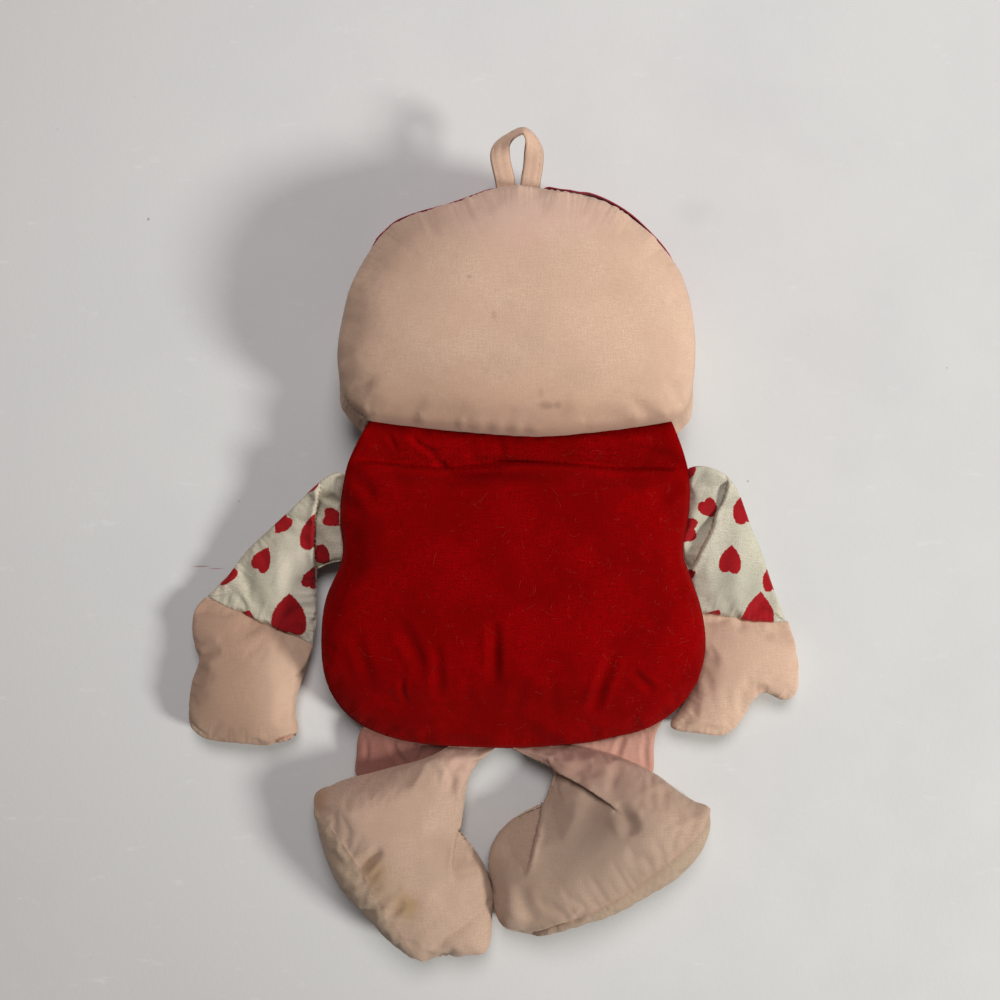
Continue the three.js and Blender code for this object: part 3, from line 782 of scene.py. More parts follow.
def simpleFinish(name, colour, rough=0.8):
    # thread and lint: one colour with darker lengths
    material = bpy.data.materials.new(name)
    material.use_nodes = True
    tree = material.node_tree
    shader = tree.nodes["Principled BSDF"]
    place = addNode(tree, "TexCoord", {}).outputs["Object"]
    share = between(tree, noiseAt(tree, place, 900.0), 0.35, 0.65)
    dark = tuple(0.8 * c for c in colour)
    tree.links.new(mixed(tree, share, dark, colour), shader.inputs["Base Color"])
    height = noiseAt(tree, place, 2700.0)
    bump = addNode(tree, "Bump", {"Height": height, "Strength": 0.4, "Distance": 0.0001})
    tree.links.new(bump.outputs[0], shader.inputs["Normal"])
    shader.inputs["Roughness"].default_value = rough
    shader.inputs["Specular IOR Level"].default_value = 0.15
    return material


# Thread laid on cloth

def surfaceOf(ob):
    points = [v.co.copy() for v in ob.data.vertices]
    return BVHTree.FromPolygons(points, [tuple(f.vertices) for f in ob.data.polygons])


def layThread(name, strands, radius, material, sides=5):
    # small tubes along lines of points in metres, all in one mesh
    vertices, faces = [], []
    for strand in strands:
        first = len(vertices)
        for k, place in enumerate(strand):
            ahead = strand[min(k + 1, len(strand) - 1)] - strand[max(k - 1, 0)]
            ahead = ahead.normalized() if ahead.length > 0 else Vector((1, 0, 0))
            side = ahead.cross(Vector((0, 0, 1)))
            side = side.normalized() if side.length > 1e-6 else Vector((1, 0, 0))
            up = side.cross(ahead)
            thin = radius * mm * (0.35 if k in (0, len(strand) - 1) else 1.0)
            for j in range(sides):
                turn = 2 * math.pi * j / sides
                vertices.append(place + side * (math.cos(turn) * thin) + up * (math.sin(turn) * thin))
        for k in range(len(strand) - 1):
            for j in range(sides):
                a, b = first + k * sides + j, first + k * sides + (j + 1) % sides
                faces.append((a, b, b + sides, a + sides))
        faces.append(tuple(range(first + sides - 1, first - 1, -1)))
        last = first + (len(strand) - 1) * sides
        faces.append(tuple(range(last, last + sides)))
    ob = addObject(name, [tuple(v) for v in vertices], faces)
    ob.data.materials.append(material)
    return ob


def onSurface(tree, x, y, fromAbove, lift):
    # the point of a surface above or below a place on the floor, lifted off it; None where there is none
    height = 0.2 if fromAbove else -0.1
    heading = Vector((0, 0, -1 if fromAbove else 1))
    spot = tree.ray_cast(Vector((x * mm, y * mm, height)), heading)[0]
    return None if spot is None else spot - heading * (lift * mm)


# Head

head = {
    "seamZ": 31.0,
    "backCrown": 28.4,
    "faceCrown": 37.0,
    "fullness": 0.51,  # here and below, the lower it is, the steeper the pillow's sides
    "neck": [
        (-61.8, 76.6), (-43.1, 73.6), (-19.5, 70.9), (7.4, 70.1), (30.1, 71.1), (50.3, 73.8), (65.0, 76.2),
    ],
    "rightSide": [
        (65.0, 76.2), (71.6, 81.4), (74.6, 92.0), (75.5, 105.8), (74.9, 117.2), (73.2, 128.3),
        (69.3, 138.7),
    ],
    "topRight": [
        (69.3, 138.7), (60.8, 150.3), (50.6, 159.9), (43.8, 164.4), (36.0, 168.6), (28.2, 171.4),
        (18.8, 172.6),
    ],
    "top": [
        (18.8, 172.6), (10.8, 174.2), (0.0, 174.8), (-8.8, 174.4), (-20.8, 170.3), (-29.6, 167.1),
        (-39.7, 164.3),
    ],
    "topLeft": [
        (-39.7, 164.3), (-49.0, 160.6), (-55.5, 155.6), (-59.6, 150.6), (-65.8, 141.2), (-70.3, 130.7),
    ],
    "leftSide": [
        (-70.3, 130.7), (-73.6, 119.3), (-75.0, 107.9), (-74.8, 96.8), (-72.4, 85.0), (-61.8, 76.6),
    ],
    "middle": (0.5, 118.0),
    "swell": 5.0,  # the face's cloth stands out past the seam
    "cheekSwell": 15.0,
    "cheekDrop": 9.0,
    "rightTopSwell": 5.0,
    "hairline": [
        (-74, 113), (-62, 126), (-45, 134), (-22, 139), (0, 140.5), (22, 139), (45, 134), (62, 126),
        (74, 113),
    ],
    "hairLift": 0.7,
    # how far the hair's cloth stands out past the top seam, by x
    "hairShows": [
        (-62, 0), (-58, 0.9), (-55, 0.6), (-51, 1.0), (-40, 0.85), (-33, 0.95), (-22, 0.85), (-12, 0.6),
        (-8, 0), (11, 0), (13, 1.5), (22, 1.7), (26, 1.25), (30, 1.75), (44, 1.7), (52, 1.2), (60, 0.9),
        (66, 0.5), (68, 0),
    ],
}
headStainsAndPaintedLight = [
    stainAndPaintedLight((12.0, 81.0), 4.2, 0.6, (0.24, 0.17, 0.12), (0.8, 1.6)),
    stainAndPaintedLight((16.4, 81.4), 2.4, 0.55, (0.24, 0.17, 0.12), (1.0, 1.0)),
    stainAndPaintedLight((20.6, 80.2), 5.0, 0.35, (0.33, 0.23, 0.16), (1.0, 0.8)),
    stainAndPaintedLight((9.5, 86.4), 2.6, 0.35, (0.30, 0.21, 0.15), (1.6, 0.8)),
    stainAndPaintedLight((-6.0, 97.0), 8.0, 0.18, (0.36, 0.26, 0.19), (0.6, 1.0)),
    stainAndPaintedLight((5.5, 105.0), 8.0, 0.16, (0.36, 0.26, 0.19), (1.0, 0.8)),
    stainAndPaintedLight((-9.3, 116.0), 2.6, 0.3, (0.32, 0.20, 0.15), (1.4, 0.8)),
    stainAndPaintedLight((-19.0, 131.4), 1.3, 0.45, (0.30, 0.19, 0.15)),
    # painted shade and painted reflection of the red body along the neck, with some soil
    stainAndPaintedLight((0.0, 74.0), 90.0, 0.32, (0.52, 0.27, 0.17), (0.9, 3.0)),
    # painted shade: these three marks darken the head's left side, its top left and its lower left, where
    # the cloth turns away from the light
    stainAndPaintedLight((-84.0, 116.0), 50.0, 0.66, (0.35, 0.225, 0.155), (1.5, 0.7)),
    stainAndPaintedLight((-52.0, 158.0), 38.0, 0.52, (0.38, 0.25, 0.18), (0.8, 1.2)),
    stainAndPaintedLight((-44.0, 84.0), 34.0, 0.35, (0.40, 0.235, 0.155), (0.9, 1.2)),
    stainAndPaintedLight((25.0, 92.0), 14.0, 0.2, (0.38, 0.26, 0.185), (1.0, 1.6)),
    # painted light: a lighter, pinker patch over the top of the head
    stainAndPaintedLight((-2.0, 162.0), 44.0, 0.35, (0.68, 0.45, 0.40), (0.7, 1.8)),
]
faceStains = [
    stainAndPaintedLight((-36.0, 100.0), 15.0, 0.35, (0.72, 0.30, 0.26), layer=cloth["under"]),
    stainAndPaintedLight((36.0, 100.0), 15.0, 0.35, (0.72, 0.30, 0.26), layer=cloth["under"]),
]


def makeHead():
    sides = ["neck", "rightSide", "topRight", "top", "topLeft", "leftSide"]
    ring = ringOf([head[k] for k in sides], cloth["step"])
    panel = cutPanel(ring, cloth["step"])
    flat = panel["flat"]
    rise = puff(panel) ** head["fullness"]
    gap = alongLine(flat, ring, True)[0]
    over = head["seamZ"] + head["backCrown"] * rise
    under = np.maximum(head["seamZ"] - head["faceCrown"] * rise, cloth["lowest"])
    out = flat - np.array(head["middle"])
    out /= np.maximum(np.linalg.norm(out, axis=1), 1e-6)[:, None]
    # the face swells most at the lower corners, where its cheeks stand out, and at the top right
    corner = (1 - ease(flat[:, 1], 76, 106)) * ease(np.abs(flat[:, 0]), 34, 66)
    topRight = ease(flat[:, 0], 5, 30) * ease(flat[:, 1], 120, 155)
    swell = head["swell"] + head["cheekSwell"] * corner + head["rightTopSwell"] * topRight
    swell *= 0.25 + 0.75 * ease(gap + 40 * (flat[:, 1] > 85) + 40 * (np.abs(flat[:, 0]) > 58), 0, 20)
    share = np.clip(gap / 42, 0, 1)
    bulge = 2 * np.sqrt(share) * (1 - share)
    shift = out * (swell * bulge)[:, None]
    low = (1 - ease(flat[:, 1], 74, 92)) * ease(np.abs(flat[:, 0]), 40, 62)
    shift[:, 1] -= head["cheekDrop"] * low * bulge
    shift[:, 0] *= 1 - 0.35 * low
    form = closePillow(panel, over, under, shift)
    fillUp(form, pressure=6.0, slack=0.0, most=0.8)
    form = smoothForm(form)
    gatherAt(form, ring, 3.7, 7.5, 1.0, 11, True, lambda g: ease(g[:, 1], 122, 150))
    gatherAt(form, ring, 4.6, 6.0, 0.6, 17, True, layer=1)
    crumple(form, 44, 0.35, 5)
    pull = lambda g: 0.04 + 0.96 * ease(g[:, 1], 128, 150)
    back = sewOn("headBack", form, 0, ring, cottonCloth("headCotton", peachLook, headStainsAndPaintedLight), pull=pull)
    face = sewOn("headFace", form, 1, ring, cottonCloth("faceCotton", peachLook, faceStains))
    for ob, nodes in ((back, ["head_back_panel", "head_stuffing"]), (face, ["head_face_panel"])):
        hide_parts(*nodes)
        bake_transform(ob)
    makeHair(form)
    makeFace(face)
    return back


def cutAlong(form, side, value):
    # the cloth of one side of a form where the value is above 0, cut through its faces along 0
    rows = [form["points"], form["normals"], form["grain"]]
    ids, made = {}, ([], [], [])

    def place(key, first, second, share):
        if key not in ids:
            ids[key] = len(ids)
            for values, cut in zip(rows, made):
                cut.append(values[first] * (1 - share) + values[second] * share)
        return ids[key]

    faces = []
    for face, faceSide in zip(form["faces"], form["side"]):
        if faceSide != side:
            continue
        corners = []
        for a, b in zip(face, (*face[1:], face[0])):
            if value[a] > 0:
                corners.append(place((a, a), a, a, 0.0))
            if (value[a] > 0) != (value[b] > 0):
                low, high = min(a, b), max(a, b)
                corners.append(place((low, high), low, high, value[low] / (value[low] - value[high])))
        if len(corners) > 2:
            faces.append(tuple(corners))
    return (*(np.array(cut) for cut in made), faces)


def makeHair(form):
    # a cap of dark red cotton over the top of the face
    ring = form["panel"]["ring"]
    hairline = curveThrough(head["hairline"], cloth["step"])
    line = np.interp(form["grain"][:, 0], hairline[:, 0], hairline[:, 1])
    points, normals, grain, faces = cutAlong(form, 1, form["grain"][:, 1] - line)
    inner = alongLine(grain[:, :2], ring, True)[0]
    x, y = grain[:, 0], grain[:, 1]
    proud = np.interp(x, *zip(*head["hairShows"])) * ease(y, 141, 147) - 0.15
    lift = proud + (head["hairLift"] - proud) * ease(inner, 0.2, 4)
    lift = np.maximum(lift, 0.45 * ease(inner, 0, 0.8))
    lifted = points + normals * lift[:, None]
    lifted[:, 2] = np.maximum(lifted[:, 2], 0.15)
    ob = addObject("hair", (lifted * mm).tolist(), faces)
    gap, run, _ = alongLine(grain[:, :2], hairline)
    seam = np.stack([gap * mm, run * mm, 1 + 0 * gap], axis=1)
    drape = runDown(grain[:, :2], points[:, 2], points[:, 2].min(), ring) * mm
    addPlaces(ob.data, {"grain": grain * mm, "seam": seam, "drape": drape})
    ob.data.materials.append(cottonCloth("hairCotton", hairLook))
    thick = ob.modifiers.new("thickness", "SOLIDIFY")
    thick.thickness = 0.45 * mm
    thick.offset = -1
    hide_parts("hair_panel")
    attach(ob, "head")


faceParts = {
    "eyes": [(-20.0, 112.0), (20.0, 112.0)],
    "eyeSize": (4.0, 5.2),
    "nose": (0.0, 103.0),
    "noseSize": (3.0, 1.9),
    "mouth": [(-15.0, 96.0), (-8.0, 91.8), (0.0, 90.4), (8.0, 91.8), (15.0, 96.0)],
    "thread": 0.32,
}


def satinPatch(surface, middle, size):
    # an oval filled with stitches laid side by side
    strands = []
    for x in np.arange(-size[0], size[0] + 0.01, faceParts["thread"] * 1.7):
        half = size[1] * math.sqrt(max(0.0, 1 - (x / (size[0] + 0.3)) ** 2))
        line = []
        for share in np.linspace(-1, 1, 7):
            lift = 0.1 + 0.3 * (1 - share * share)
            line.append(onSurface(surface, middle[0] + x, middle[1] + half * share, False, lift))
        if all(q is not None for q in line):
            strands.append(line)
    return strands


def makeFace(face):
    surface = surfaceOf(face)
    dark = simpleFinish("eyeThread", (0.035, 0.022, 0.018))
    red = simpleFinish("mouthThread", (0.34, 0.02, 0.025))
    pink = simpleFinish("noseThread", (0.55, 0.22, 0.17))
    eyes = [s for place in faceParts["eyes"] for s in satinPatch(surface, place, faceParts["eyeSize"])]
    nose = satinPatch(surface, faceParts["nose"], faceParts["noseSize"])
    line = curveThrough(faceParts["mouth"], 0.8)
    mouth = []
    for first in range(0, len(line) - 4, 4):
        lifts = (0.05, 0.25, 0.25, 0.25, 0.05)
        mouth.append([onSurface(surface, *line[first + k], False, lift) for k, lift in enumerate(lifts)])
    for name, strands, finish in (("eyes", eyes, dark), ("nose", nose, pink), ("mouth", mouth, red)):
        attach(layThread(name, strands, faceParts["thread"], finish), "head")


# Body

body = {
    "seamZ": 20.0,
    "backCrown": 19.0,
    "frontCrown": 24.0,
    "fullness": 0.4,
    "neckTuck": 0.8,  # the body's neck edge is sewn inside the head's
    "leftSide": [
        (-61.8, 76.6), (-66.8, 68.0), (-71.2, 58.5), (-73.8, 50.0), (-75.7, 41.0), (-76.0, 32.0),
        (-74.6, 23.0), (-75.6, 15.0), (-78.6, 8.0), (-81.4, 1.0), (-83.3, -8.0), (-84.1, -18.4),
        (-83.4, -28.5), (-80.9, -39.0), (-76.0, -49.0), (-69.0, -56.2), (-58.0, -61.6), (-43.0, -64.8),
        (-26.0, -66.2), (-8.7, -66.5),
    ],
    "rightSide": [
        (-8.7, -66.5), (6.3, -66.6), (21.3, -65.6), (38.5, -63.2), (53.5, -59.4), (66.4, -52.4),
        (75.0, -43.4), (79.8, -32.8), (82.0, -21.5), (81.3, -9.9), (78.6, 1.5), (75.2, 11.5), (72.4, 19.8),
        (73.4, 30.0), (74.4, 39.0), (73.8, 49.3), (72.2, 57.6), (68.9, 67.5), (65.0, 76.2),
    ],
    "neckCrease": [
        (-72, 58.5), (-61, 58.4), (-32, 55.9), (-15.3, 56.3), (1.5, 57.8), (26.6, 57.3), (47.6, 55.5),
        (73, 55.9),
    ],
}
bodyFolds = [
    # line, half width, depth
    ([(-9.6, -6.0), (-9.2, -20.0), (-9.4, -34.0)], 2.4, 1.6),
    ([(-34.0, -16.0), (-32.6, -27.0), (-32.4, -40.0)], 2.4, 1.0),
    ([(-49.5, -7.0), (-43.0, -18.0), (-37.6, -30.0)], 3.0, 1.1),
    ([(-67.5, -13.0), (-64.0, -24.0), (-61.0, -34.0)], 2.6, 0.7),
    ([(-58.0, -38.0), (-48.0, -42.0), (-36.0, -40.0)], 3.6, 0.6),
    ([(40.0, -20.0), (36.0, -32.0), (32.0, -47.0)], 2.5, 1.7),
    ([(48.0, -28.0), (53.0, -33.0), (57.5, -37.0)], 1.8, 1.2),
    ([(-47.0, -30.0), (-48.0, -37.0), (-46.0, -42.0)], 1.4, 0.9),
    ([(3.0, -30.0), (0.0, -42.0), (-3.0, -52.0)], 3.0, 0.5),
    ([(14.0, -28.0), (15.0, -40.0), (17.0, -50.0)], 2.6, 0.4),
    ([(-20.0, -24.0), (-20.5, -36.0), (-18.0, -47.0)], 2.6, 0.4),
    ([(-54.5, 72.0), (-52.0, 67.0), (-50.5, 63.0)], 1.1, 0.9),
    ([(-44.0, 70.5), (-40.0, 65.5), (-33.0, 62.0)], 1.2, 1.5),
    ([(-36.0, 62.0), (-31.0, 57.0), (-25.0, 54.4), (-6.0, 54.6)], 1.3, 1.6),
    ([(-20.0, 70.0), (-19.0, 64.0), (-18.0, 58.5)], 2.2, 0.6),
    ([(-8.0, 68.0), (-6.5, 64.0), (-6.0, 59.0)], 1.8, 0.6),
    ([(-20.0, 59.6), (-6.0, 59.4), (14.0, 58.6), (26.0, 57.4)], 1.2, 1.2),
    ([(10.0, 62.5), (26.0, 60.0), (40.0, 62.0)], 4.0, 0.7),
    ([(-54.0, 26.0), (-20.0, 24.0), (18.0, 20.0)], 7.0, 0.5),
    ([(25.0, 14.0), (40.0, 20.0), (52.0, 26.0)], 4.0, 0.5),
]


def bodySeamHeight(y):
    climb = (head["seamZ"] - body["seamZ"]) * ease(y, 38, 70.6)
    fall = (body["seamZ"] - 8) * ease(-np.asarray(y, float), 22, 64)
    return body["seamZ"] + climb - fall


def makeBody():
    neck = [(x, y + body["neckTuck"]) for x, y in reversed(head["neck"])]
    leftSide = [neck[-1], *body["leftSide"][1:]]
    rightSide = [*body["rightSide"][:-1], neck[0]]
    ring = ringOf([neck, leftSide, rightSide], cloth["step"])
    crease = curveThrough(body["neckCrease"], cloth["step"])
    panel = cutPanel(ring, cloth["step"])
    flat = panel["flat"]
    rise = puff(panel) ** body["fullness"]
    seamZ = bodySeamHeight(flat[:, 1])
    beyond = flat[:, 1] - np.interp(flat[:, 0], crease[:, 0], crease[:, 1])
    relief = 1 - 0.8 * ease(beyond, -10, 1)
    over = seamZ + body["backCrown"] * rise * relief
    thin = 1 - 0.75 * ease(flat[:, 1], 38, 57) - 0.6 * ease(-flat[:, 1], 26, 64)
    under = np.maximum(seamZ - body["frontCrown"] * rise * thin, cloth["lowest"])
    form = closePillow(panel, over, under)
    fillUp(form, pressure=4.0, slack=0.01, most=1.2)
    form = smoothForm(form)
    pressStep(form, body["neckCrease"], 3.2, 7.0, side=1, ends=(14, 12), tuck=0.6)
    for line, width, depth in bodyFolds:
        pressValley(form, line, width, depth)
    gatherAt(form, ring, 7.5, 4.0, 0.25, 23, True, lambda g: ease(-g[:, 1], 0, 30))
    gatherAt(form, ring, 7.5, 5.0, 0.5, 27, True, lambda g: ease(g[:, 1], -20, 0) * ease(g[:, 1], 74, 60))
    gatherAt(form, ring, 6.0, 6.0, 0.6, 29, True, layer=1)
    crumple(form, 38, 0.5, 8)
    pull = lambda g: 0.08 + 0.5 * ease(g[:, 1], 40, 10)
    back = sewOn("bodyBack", form, 0, ring, cottonCloth("bodyCotton", redLook), pull=pull)
    front = sewOn("bodyFront", form, 1, ring, cottonCloth("frontCotton", redLook), pull=pull)
    for ob, nodes in ((back, ["body_back_panel", "body_stuffing"]), (front, ["body_front_panel"])):
        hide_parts(*nodes)
        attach(ob, "torso")
    return back


# Arms

sleeves = {
    "left": {
        "root": [(-75.0, 16.6), (-74.4, 23.0), (-75.6, 32.0), (-75.3, 41.0), (-72.4, 54.6)],
        "outside": [
            (-72.4, 54.6), (-78.7, 54.3), (-85.8, 49.8), (-95.8, 41.0), (-105.4, 32.6), (-113.0, 26.0),
            (-121.4, 17.8), (-127.0, 10.2), (-137.2, 0.4),
        ],
        "cuff": [(-137.2, 0.4), (-121.6, -7.0), (-108.6, -12.6), (-100.2, -16.3), (-89.4, -21.6)],
        "inside": [
            (-89.4, -21.6), (-88.0, -12.0), (-87.4, -4.3), (-87.2, 6.0), (-86.6, 12.2), (-75.0, 16.6),
        ],
        "creases": [
            ([(-83.0, 48.5), (-84.7, 44.0), (-86.5, 37.0), (-87.5, 27.0), (-87.4, 12.0)], 5.5, 1, (5, 0)),
        ],
        "valleys": [
            ([(-98.0, 26.0), (-97.0, 8.0), (-98.0, -10.0)], 3.5, 0.8),
            ([(-120.0, 12.0), (-112.0, 0.0), (-106.0, -10.0)], 3.0, 0.5),
            ([(-126.0, 6.0), (-121.0, 0.0), (-118.0, -6.0)], 1.6, 0.4),
            ([(-81.0, 50.0), (-79.0, 42.0), (-79.5, 30.0)], 2.2, 0.7),
        ],
        "wrist": (-113.3, -10.6),
    },
    "right": {
        "root": [(72.6, 56.2), (73.9, 49.3), (74.3, 39.0), (73.4, 30.0), (72.6, 20.0), (74.8, 12.0)],
        "inside": [(74.8, 12.0), (76.6, 5.0), (77.6, 0.0), (78.6, -5.6)],
        "cuff": [(78.6, -5.6), (88.0, -7.6), (98.8, -9.6), (109.0, -10.9), (120.0, -11.0)],
        "outside": [
            (120.0, -11.0), (116.2, -1.0), (111.3, 12.2), (105.0, 26.5), (98.5, 41.0), (94.0, 48.8),
            (90.0, 53.4), (84.0, 56.6), (77.2, 57.6), (72.6, 56.2),
        ],
        "creases": [
            (
                [
                    (90.2, 53.0), (89.0, 47.0), (86.6, 38.0), (85.0, 30.0), (81.4, 23.0), (78.6, 17.0),
                    (75.2, 12.0),
                ],
                3.6, -1, (6, 0),
            ),
        ],
        "valleys": [
            ([(92.0, 34.0), (90.0, 20.0), (88.0, 4.0)], 3.6, 0.9),
            ([(104.0, 20.0), (102.0, 8.0), (98.0, -4.0)], 3.2, 0.6),
            ([(82.0, 50.0), (81.0, 40.0), (78.0, 28.0)], 2.4, 0.6),
        ],
        "wrist": (99.2, -9.6),
    },
}
sleeveShape = {"restZ": 8.0, "shoulderY": 36.0, "half": 5.6, "fullness": 0.55}
foldedAway = 40.0  # width of cloth hidden in a sleeve's fold, which the print skips
# printed hearts: middle, height from point to lobes, and turn from pointing up
sleeveHearts = {
    "left": [
        ((-99.3, -7.2), 20.0, 4), ((-110.2, 17.2), 11.4, 26), ((-101.6, 32.0), 9.6, 219),
        ((-86.9, 28.8), 17.2, 8), ((-127.2, 9.8), 10.4, 215), ((-118.6, -9.6), 10.6, 25),
        ((-89.4, 49.4), 10.4, 222), ((-89.2, 9.2), 9.8, 14), ((-78.2 + foldedAway, 35.0), 10.6, 100),
        ((-84.4 + foldedAway, 18.4), 10.0, 150),
    ],
    "right": [
        ((98.0, 38.4), 12.6, -18), ((93.0, 17.4), 12.2, 4), ((112.4, 7.9), 10.6, -12),
        ((106.9, -6.4), 19.6, 4), ((86.6, -9.4), 11.4, 30), ((75.4, 10.4), 7.0, 60),
        ((82.2 + foldedAway, 39.2), 9.6, 150), ((72.2 + foldedAway, 30.0), 13.8, 270),
        ((71.6 + foldedAway, 54.4), 10.0, 200),
    ],
}
sleeveHeartsUnder = [
    (-14, 12, 15.0, 10), (8, -2, 10.0, 70), (-8, -12, 10.5, 200), (16, 14, 10.0, -35), (2, 22, 9.5, 130),
    (-26, -4, 9.5, 40),
]
hands = {
    "left": {
        "outline": [
            (-137.4, -0.4), (-141.4, -4.2), (-142.8, -11.3), (-142.0, -19.7), (-140.3, -29.2),
            (-142.7, -35.0), (-144.2, -46.7), (-144.2, -54.6), (-141.2, -59.8), (-134.3, -63.1),
            (-120.3, -64.6), (-107.3, -65.4), (-98.4, -62.6), (-95.9, -59.4), (-97.0, -51.4),
            (-96.0, -42.1), (-93.1, -32.8), (-90.4, -25.0), (-89.6, -21.9),
        ],
        "cuff": [(-89.6, -21.9), (-100.2, -16.6), (-108.6, -12.9), (-121.6, -7.3), (-137.4, -0.4)],
        "seamZ": 8.0,
        "creases": [([(-109.0, -64.6), (-105.0, -61.6), (-101.0, -60.4), (-95.6, -60.2)], 3.0, -1, (2, 1))],
        "valleys": [
            ([(-141.5, -28.0), (-134.0, -23.5), (-128.0, -22.5)], 2.6, 1.0),
            ([(-141.5, -31.0), (-135.0, -33.0), (-130.0, -33.0)], 3.0, 0.4),
            ([(-105.0, -20.0), (-100.0, -34.0), (-99.0, -50.0)], 4.0, 0.6),
            ([(-143.0, -54.5), (-138.0, -58.0), (-134.5, -60.4)], 0.9, 0.8),
        ],
    },
    "right": {
        "outline": [
            (78.8, -5.9), (80.0, -20.0), (78.6, -36.0), (74.0, -48.0), (68.0, -57.0), (72.6, -59.2),
            (80.7, -60.0), (92.4, -61.0), (97.0, -57.4), (101.3, -52.3), (105.6, -44.6), (109.0, -42.6),
            (112.1, -42.4), (117.9, -45.6), (123.2, -43.6), (125.1, -38.0), (125.0, -30.0), (124.4, -23.3),
            (122.6, -16.6), (120.4, -11.3),
        ],
        "cuff": [(120.4, -11.3), (109.0, -11.2), (98.8, -9.9), (88.0, -7.9), (78.8, -5.9)],
        "seamZ": 7.5,
        "creases": [],
        "valleys": [
            ([(110.0, -43.4), (107.6, -40.4), (103.6, -37.4)], 2.2, 1.0),
            ([(84.0, -9.0), (86.0, -17.0), (95.0, -22.0)], 3.0, 0.3),
            ([(76.0, -58.0), (84.0, -56.0), (90.0, -58.0)], 1.6, 0.5),
        ],
    },
}
handShape = {
    "top": 8.2,
    "sag": 1.5,  # the palm would hang this far below the floor, which flattens it
    "fullness": 0.47,
    "taper": 13.0,
    "tuck": 1.2,  # the hand's raw edge is sewn inside the sleeve's hem
}
hingeZ = 8  # of the wrists and ankles
sleeveMarks = {
    "left": [
        # painted shade and painted light: darker over the middle and outer part of the left sleeve, lighter
        # along its inner side by the body, where the light falls
        stainAndPaintedLight((-112.0, 6.0), 22.0, 0.35, (0.38, 0.38, 0.27), (1.3, 1)),
        stainAndPaintedLight((-108.0, 32.0), 26.0, 0.4, (0.34, 0.31, 0.23), (1.2, 1)),
        stainAndPaintedLight((-92.0, 4.0), 30.0, 0.5, (0.80, 0.735, 0.60), (1.5, 0.7)),
    ],
    "right": [
        stainAndPaintedLight((97.0, 4.0), 24.0, 0.5, (0.36, 0.355, 0.28)),
        stainAndPaintedLight((110.0, 28.0), 16.0, 0.25, (0.58, 0.60, 0.42)),
    ],
}
handMarks = {
    "left": [
        stainAndPaintedLight((-134.0, -24.0), 8.0, 0.3, (0.34, 0.22, 0.16)),
        # painted light on the right part of the left hand, then painted shade on its left part
        stainAndPaintedLight((-98.0, -38.0), 30.0, 0.55, (0.66, 0.47, 0.34), (1.3, 0.7)),
        stainAndPaintedLight((-130.0, -40.0), 34.0, 0.4, (0.32, 0.205, 0.14), (1.0, 0.7)),
        stainAndPaintedLight((-140.0, -59.0), 7.0, 0.45, (0.33, 0.27, 0.18)),
        stainAndPaintedLight((-102.0, -62.0), 4.0, 0.4, (0.60, 0.24, 0.17), (0.5, 2)),
    ],
    "right": [
        stainAndPaintedLight((106.5, -39.5), 4.5, 0.55, (0.40, 0.22, 0.16)),
        stainAndPaintedLight((84.0, -17.0), 8.0, 0.2, (0.48, 0.28, 0.20), (1.5, 1)),
        stainAndPaintedLight((98.0, -45.0), 14.0, 0.15, (0.46, 0.32, 0.22)),
    ],
}


def makeSleeve(side):
    spec = sleeves[side]
    order = ["root", "outside", "cuff", "inside"]
    if side == "right":
        order = ["root", "inside", "cuff", "outside"]
    ring = ringOf([spec[k] for k in order], cloth["step"] * 0.8)
    panel = cutPanel(ring, cloth["step"] * 0.8, foldLines(spec["creases"]))
    flat = panel["flat"]
    sign = -1 if side == "left" else 1
    start = np.array([sign * 75.0, sleeveShape["shoulderY"]])
    way = np.array(spec["wrist"]) - start
    share = np.clip((flat - start) @ way / (way @ way), 0, 1)
    seamZ = sleeveShape["restZ"] + (bodySeamHeight(flat[:, 1]) - sleeveShape["restZ"]) * (1 - share) ** 2
    rise = puff(panel) ** sleeveShape["fullness"]
    over = seamZ + sleeveShape["half"] * rise
    under = np.maximum(seamZ - sleeveShape["half"] * rise, cloth["lowest"])
    form = closePillow(panel, over, under)
    fillUp(form, pressure=1.6, slack=0.03, most=2.2)
    form = smoothForm(form)
    pressFolds(form, spec)
    cuffLine = curveThrough(spec["cuff"], 2)
    gatherAt(form, cuffLine, 4.5, 5.0, 0.45, 31)
    gatherAt(form, cuffLine, 4.5, 5.0, 0.4, 32, layer=1)
    crumple(form, 24, 0.3, 9)
    turnedIn, _, facing = alongLine(form["grain"][:, :2], curveThrough(spec["creases"][0][0], 2))
    beyond = ease(turnedIn * facing * spec["creases"][0][2], 0.1, 0.5) * (form["grain"][:, 2] < 1)
    form["grain"][:, 0] += foldedAway * beyond
    middle = flat.mean(axis=0)
    under = [((middle[0] + x, middle[1] + y), tall, turn) for x, y, tall, turn in sleeveHeartsUnder]
    look = leftSleeveLook if side == "left" else sleeveLook
    topCloth = cottonCloth(side + "SleeveTop", look, sleeveMarks[side], sleeveHearts[side])
    top = sewOn(side + "SleeveTop", form, 0, ring, topCloth)
    underCloth = cottonCloth(side + "SleeveUnder", look, (), under)
    bottom = sewOn(side + "SleeveUnder", form, 1, ring, underCloth)
    for ob, nodes in ((top, [side + "_sleeve", side + "_sleeve_stuffing"]), (bottom, [side + "_sleeve"])):
        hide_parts(*nodes)
        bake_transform(ob)


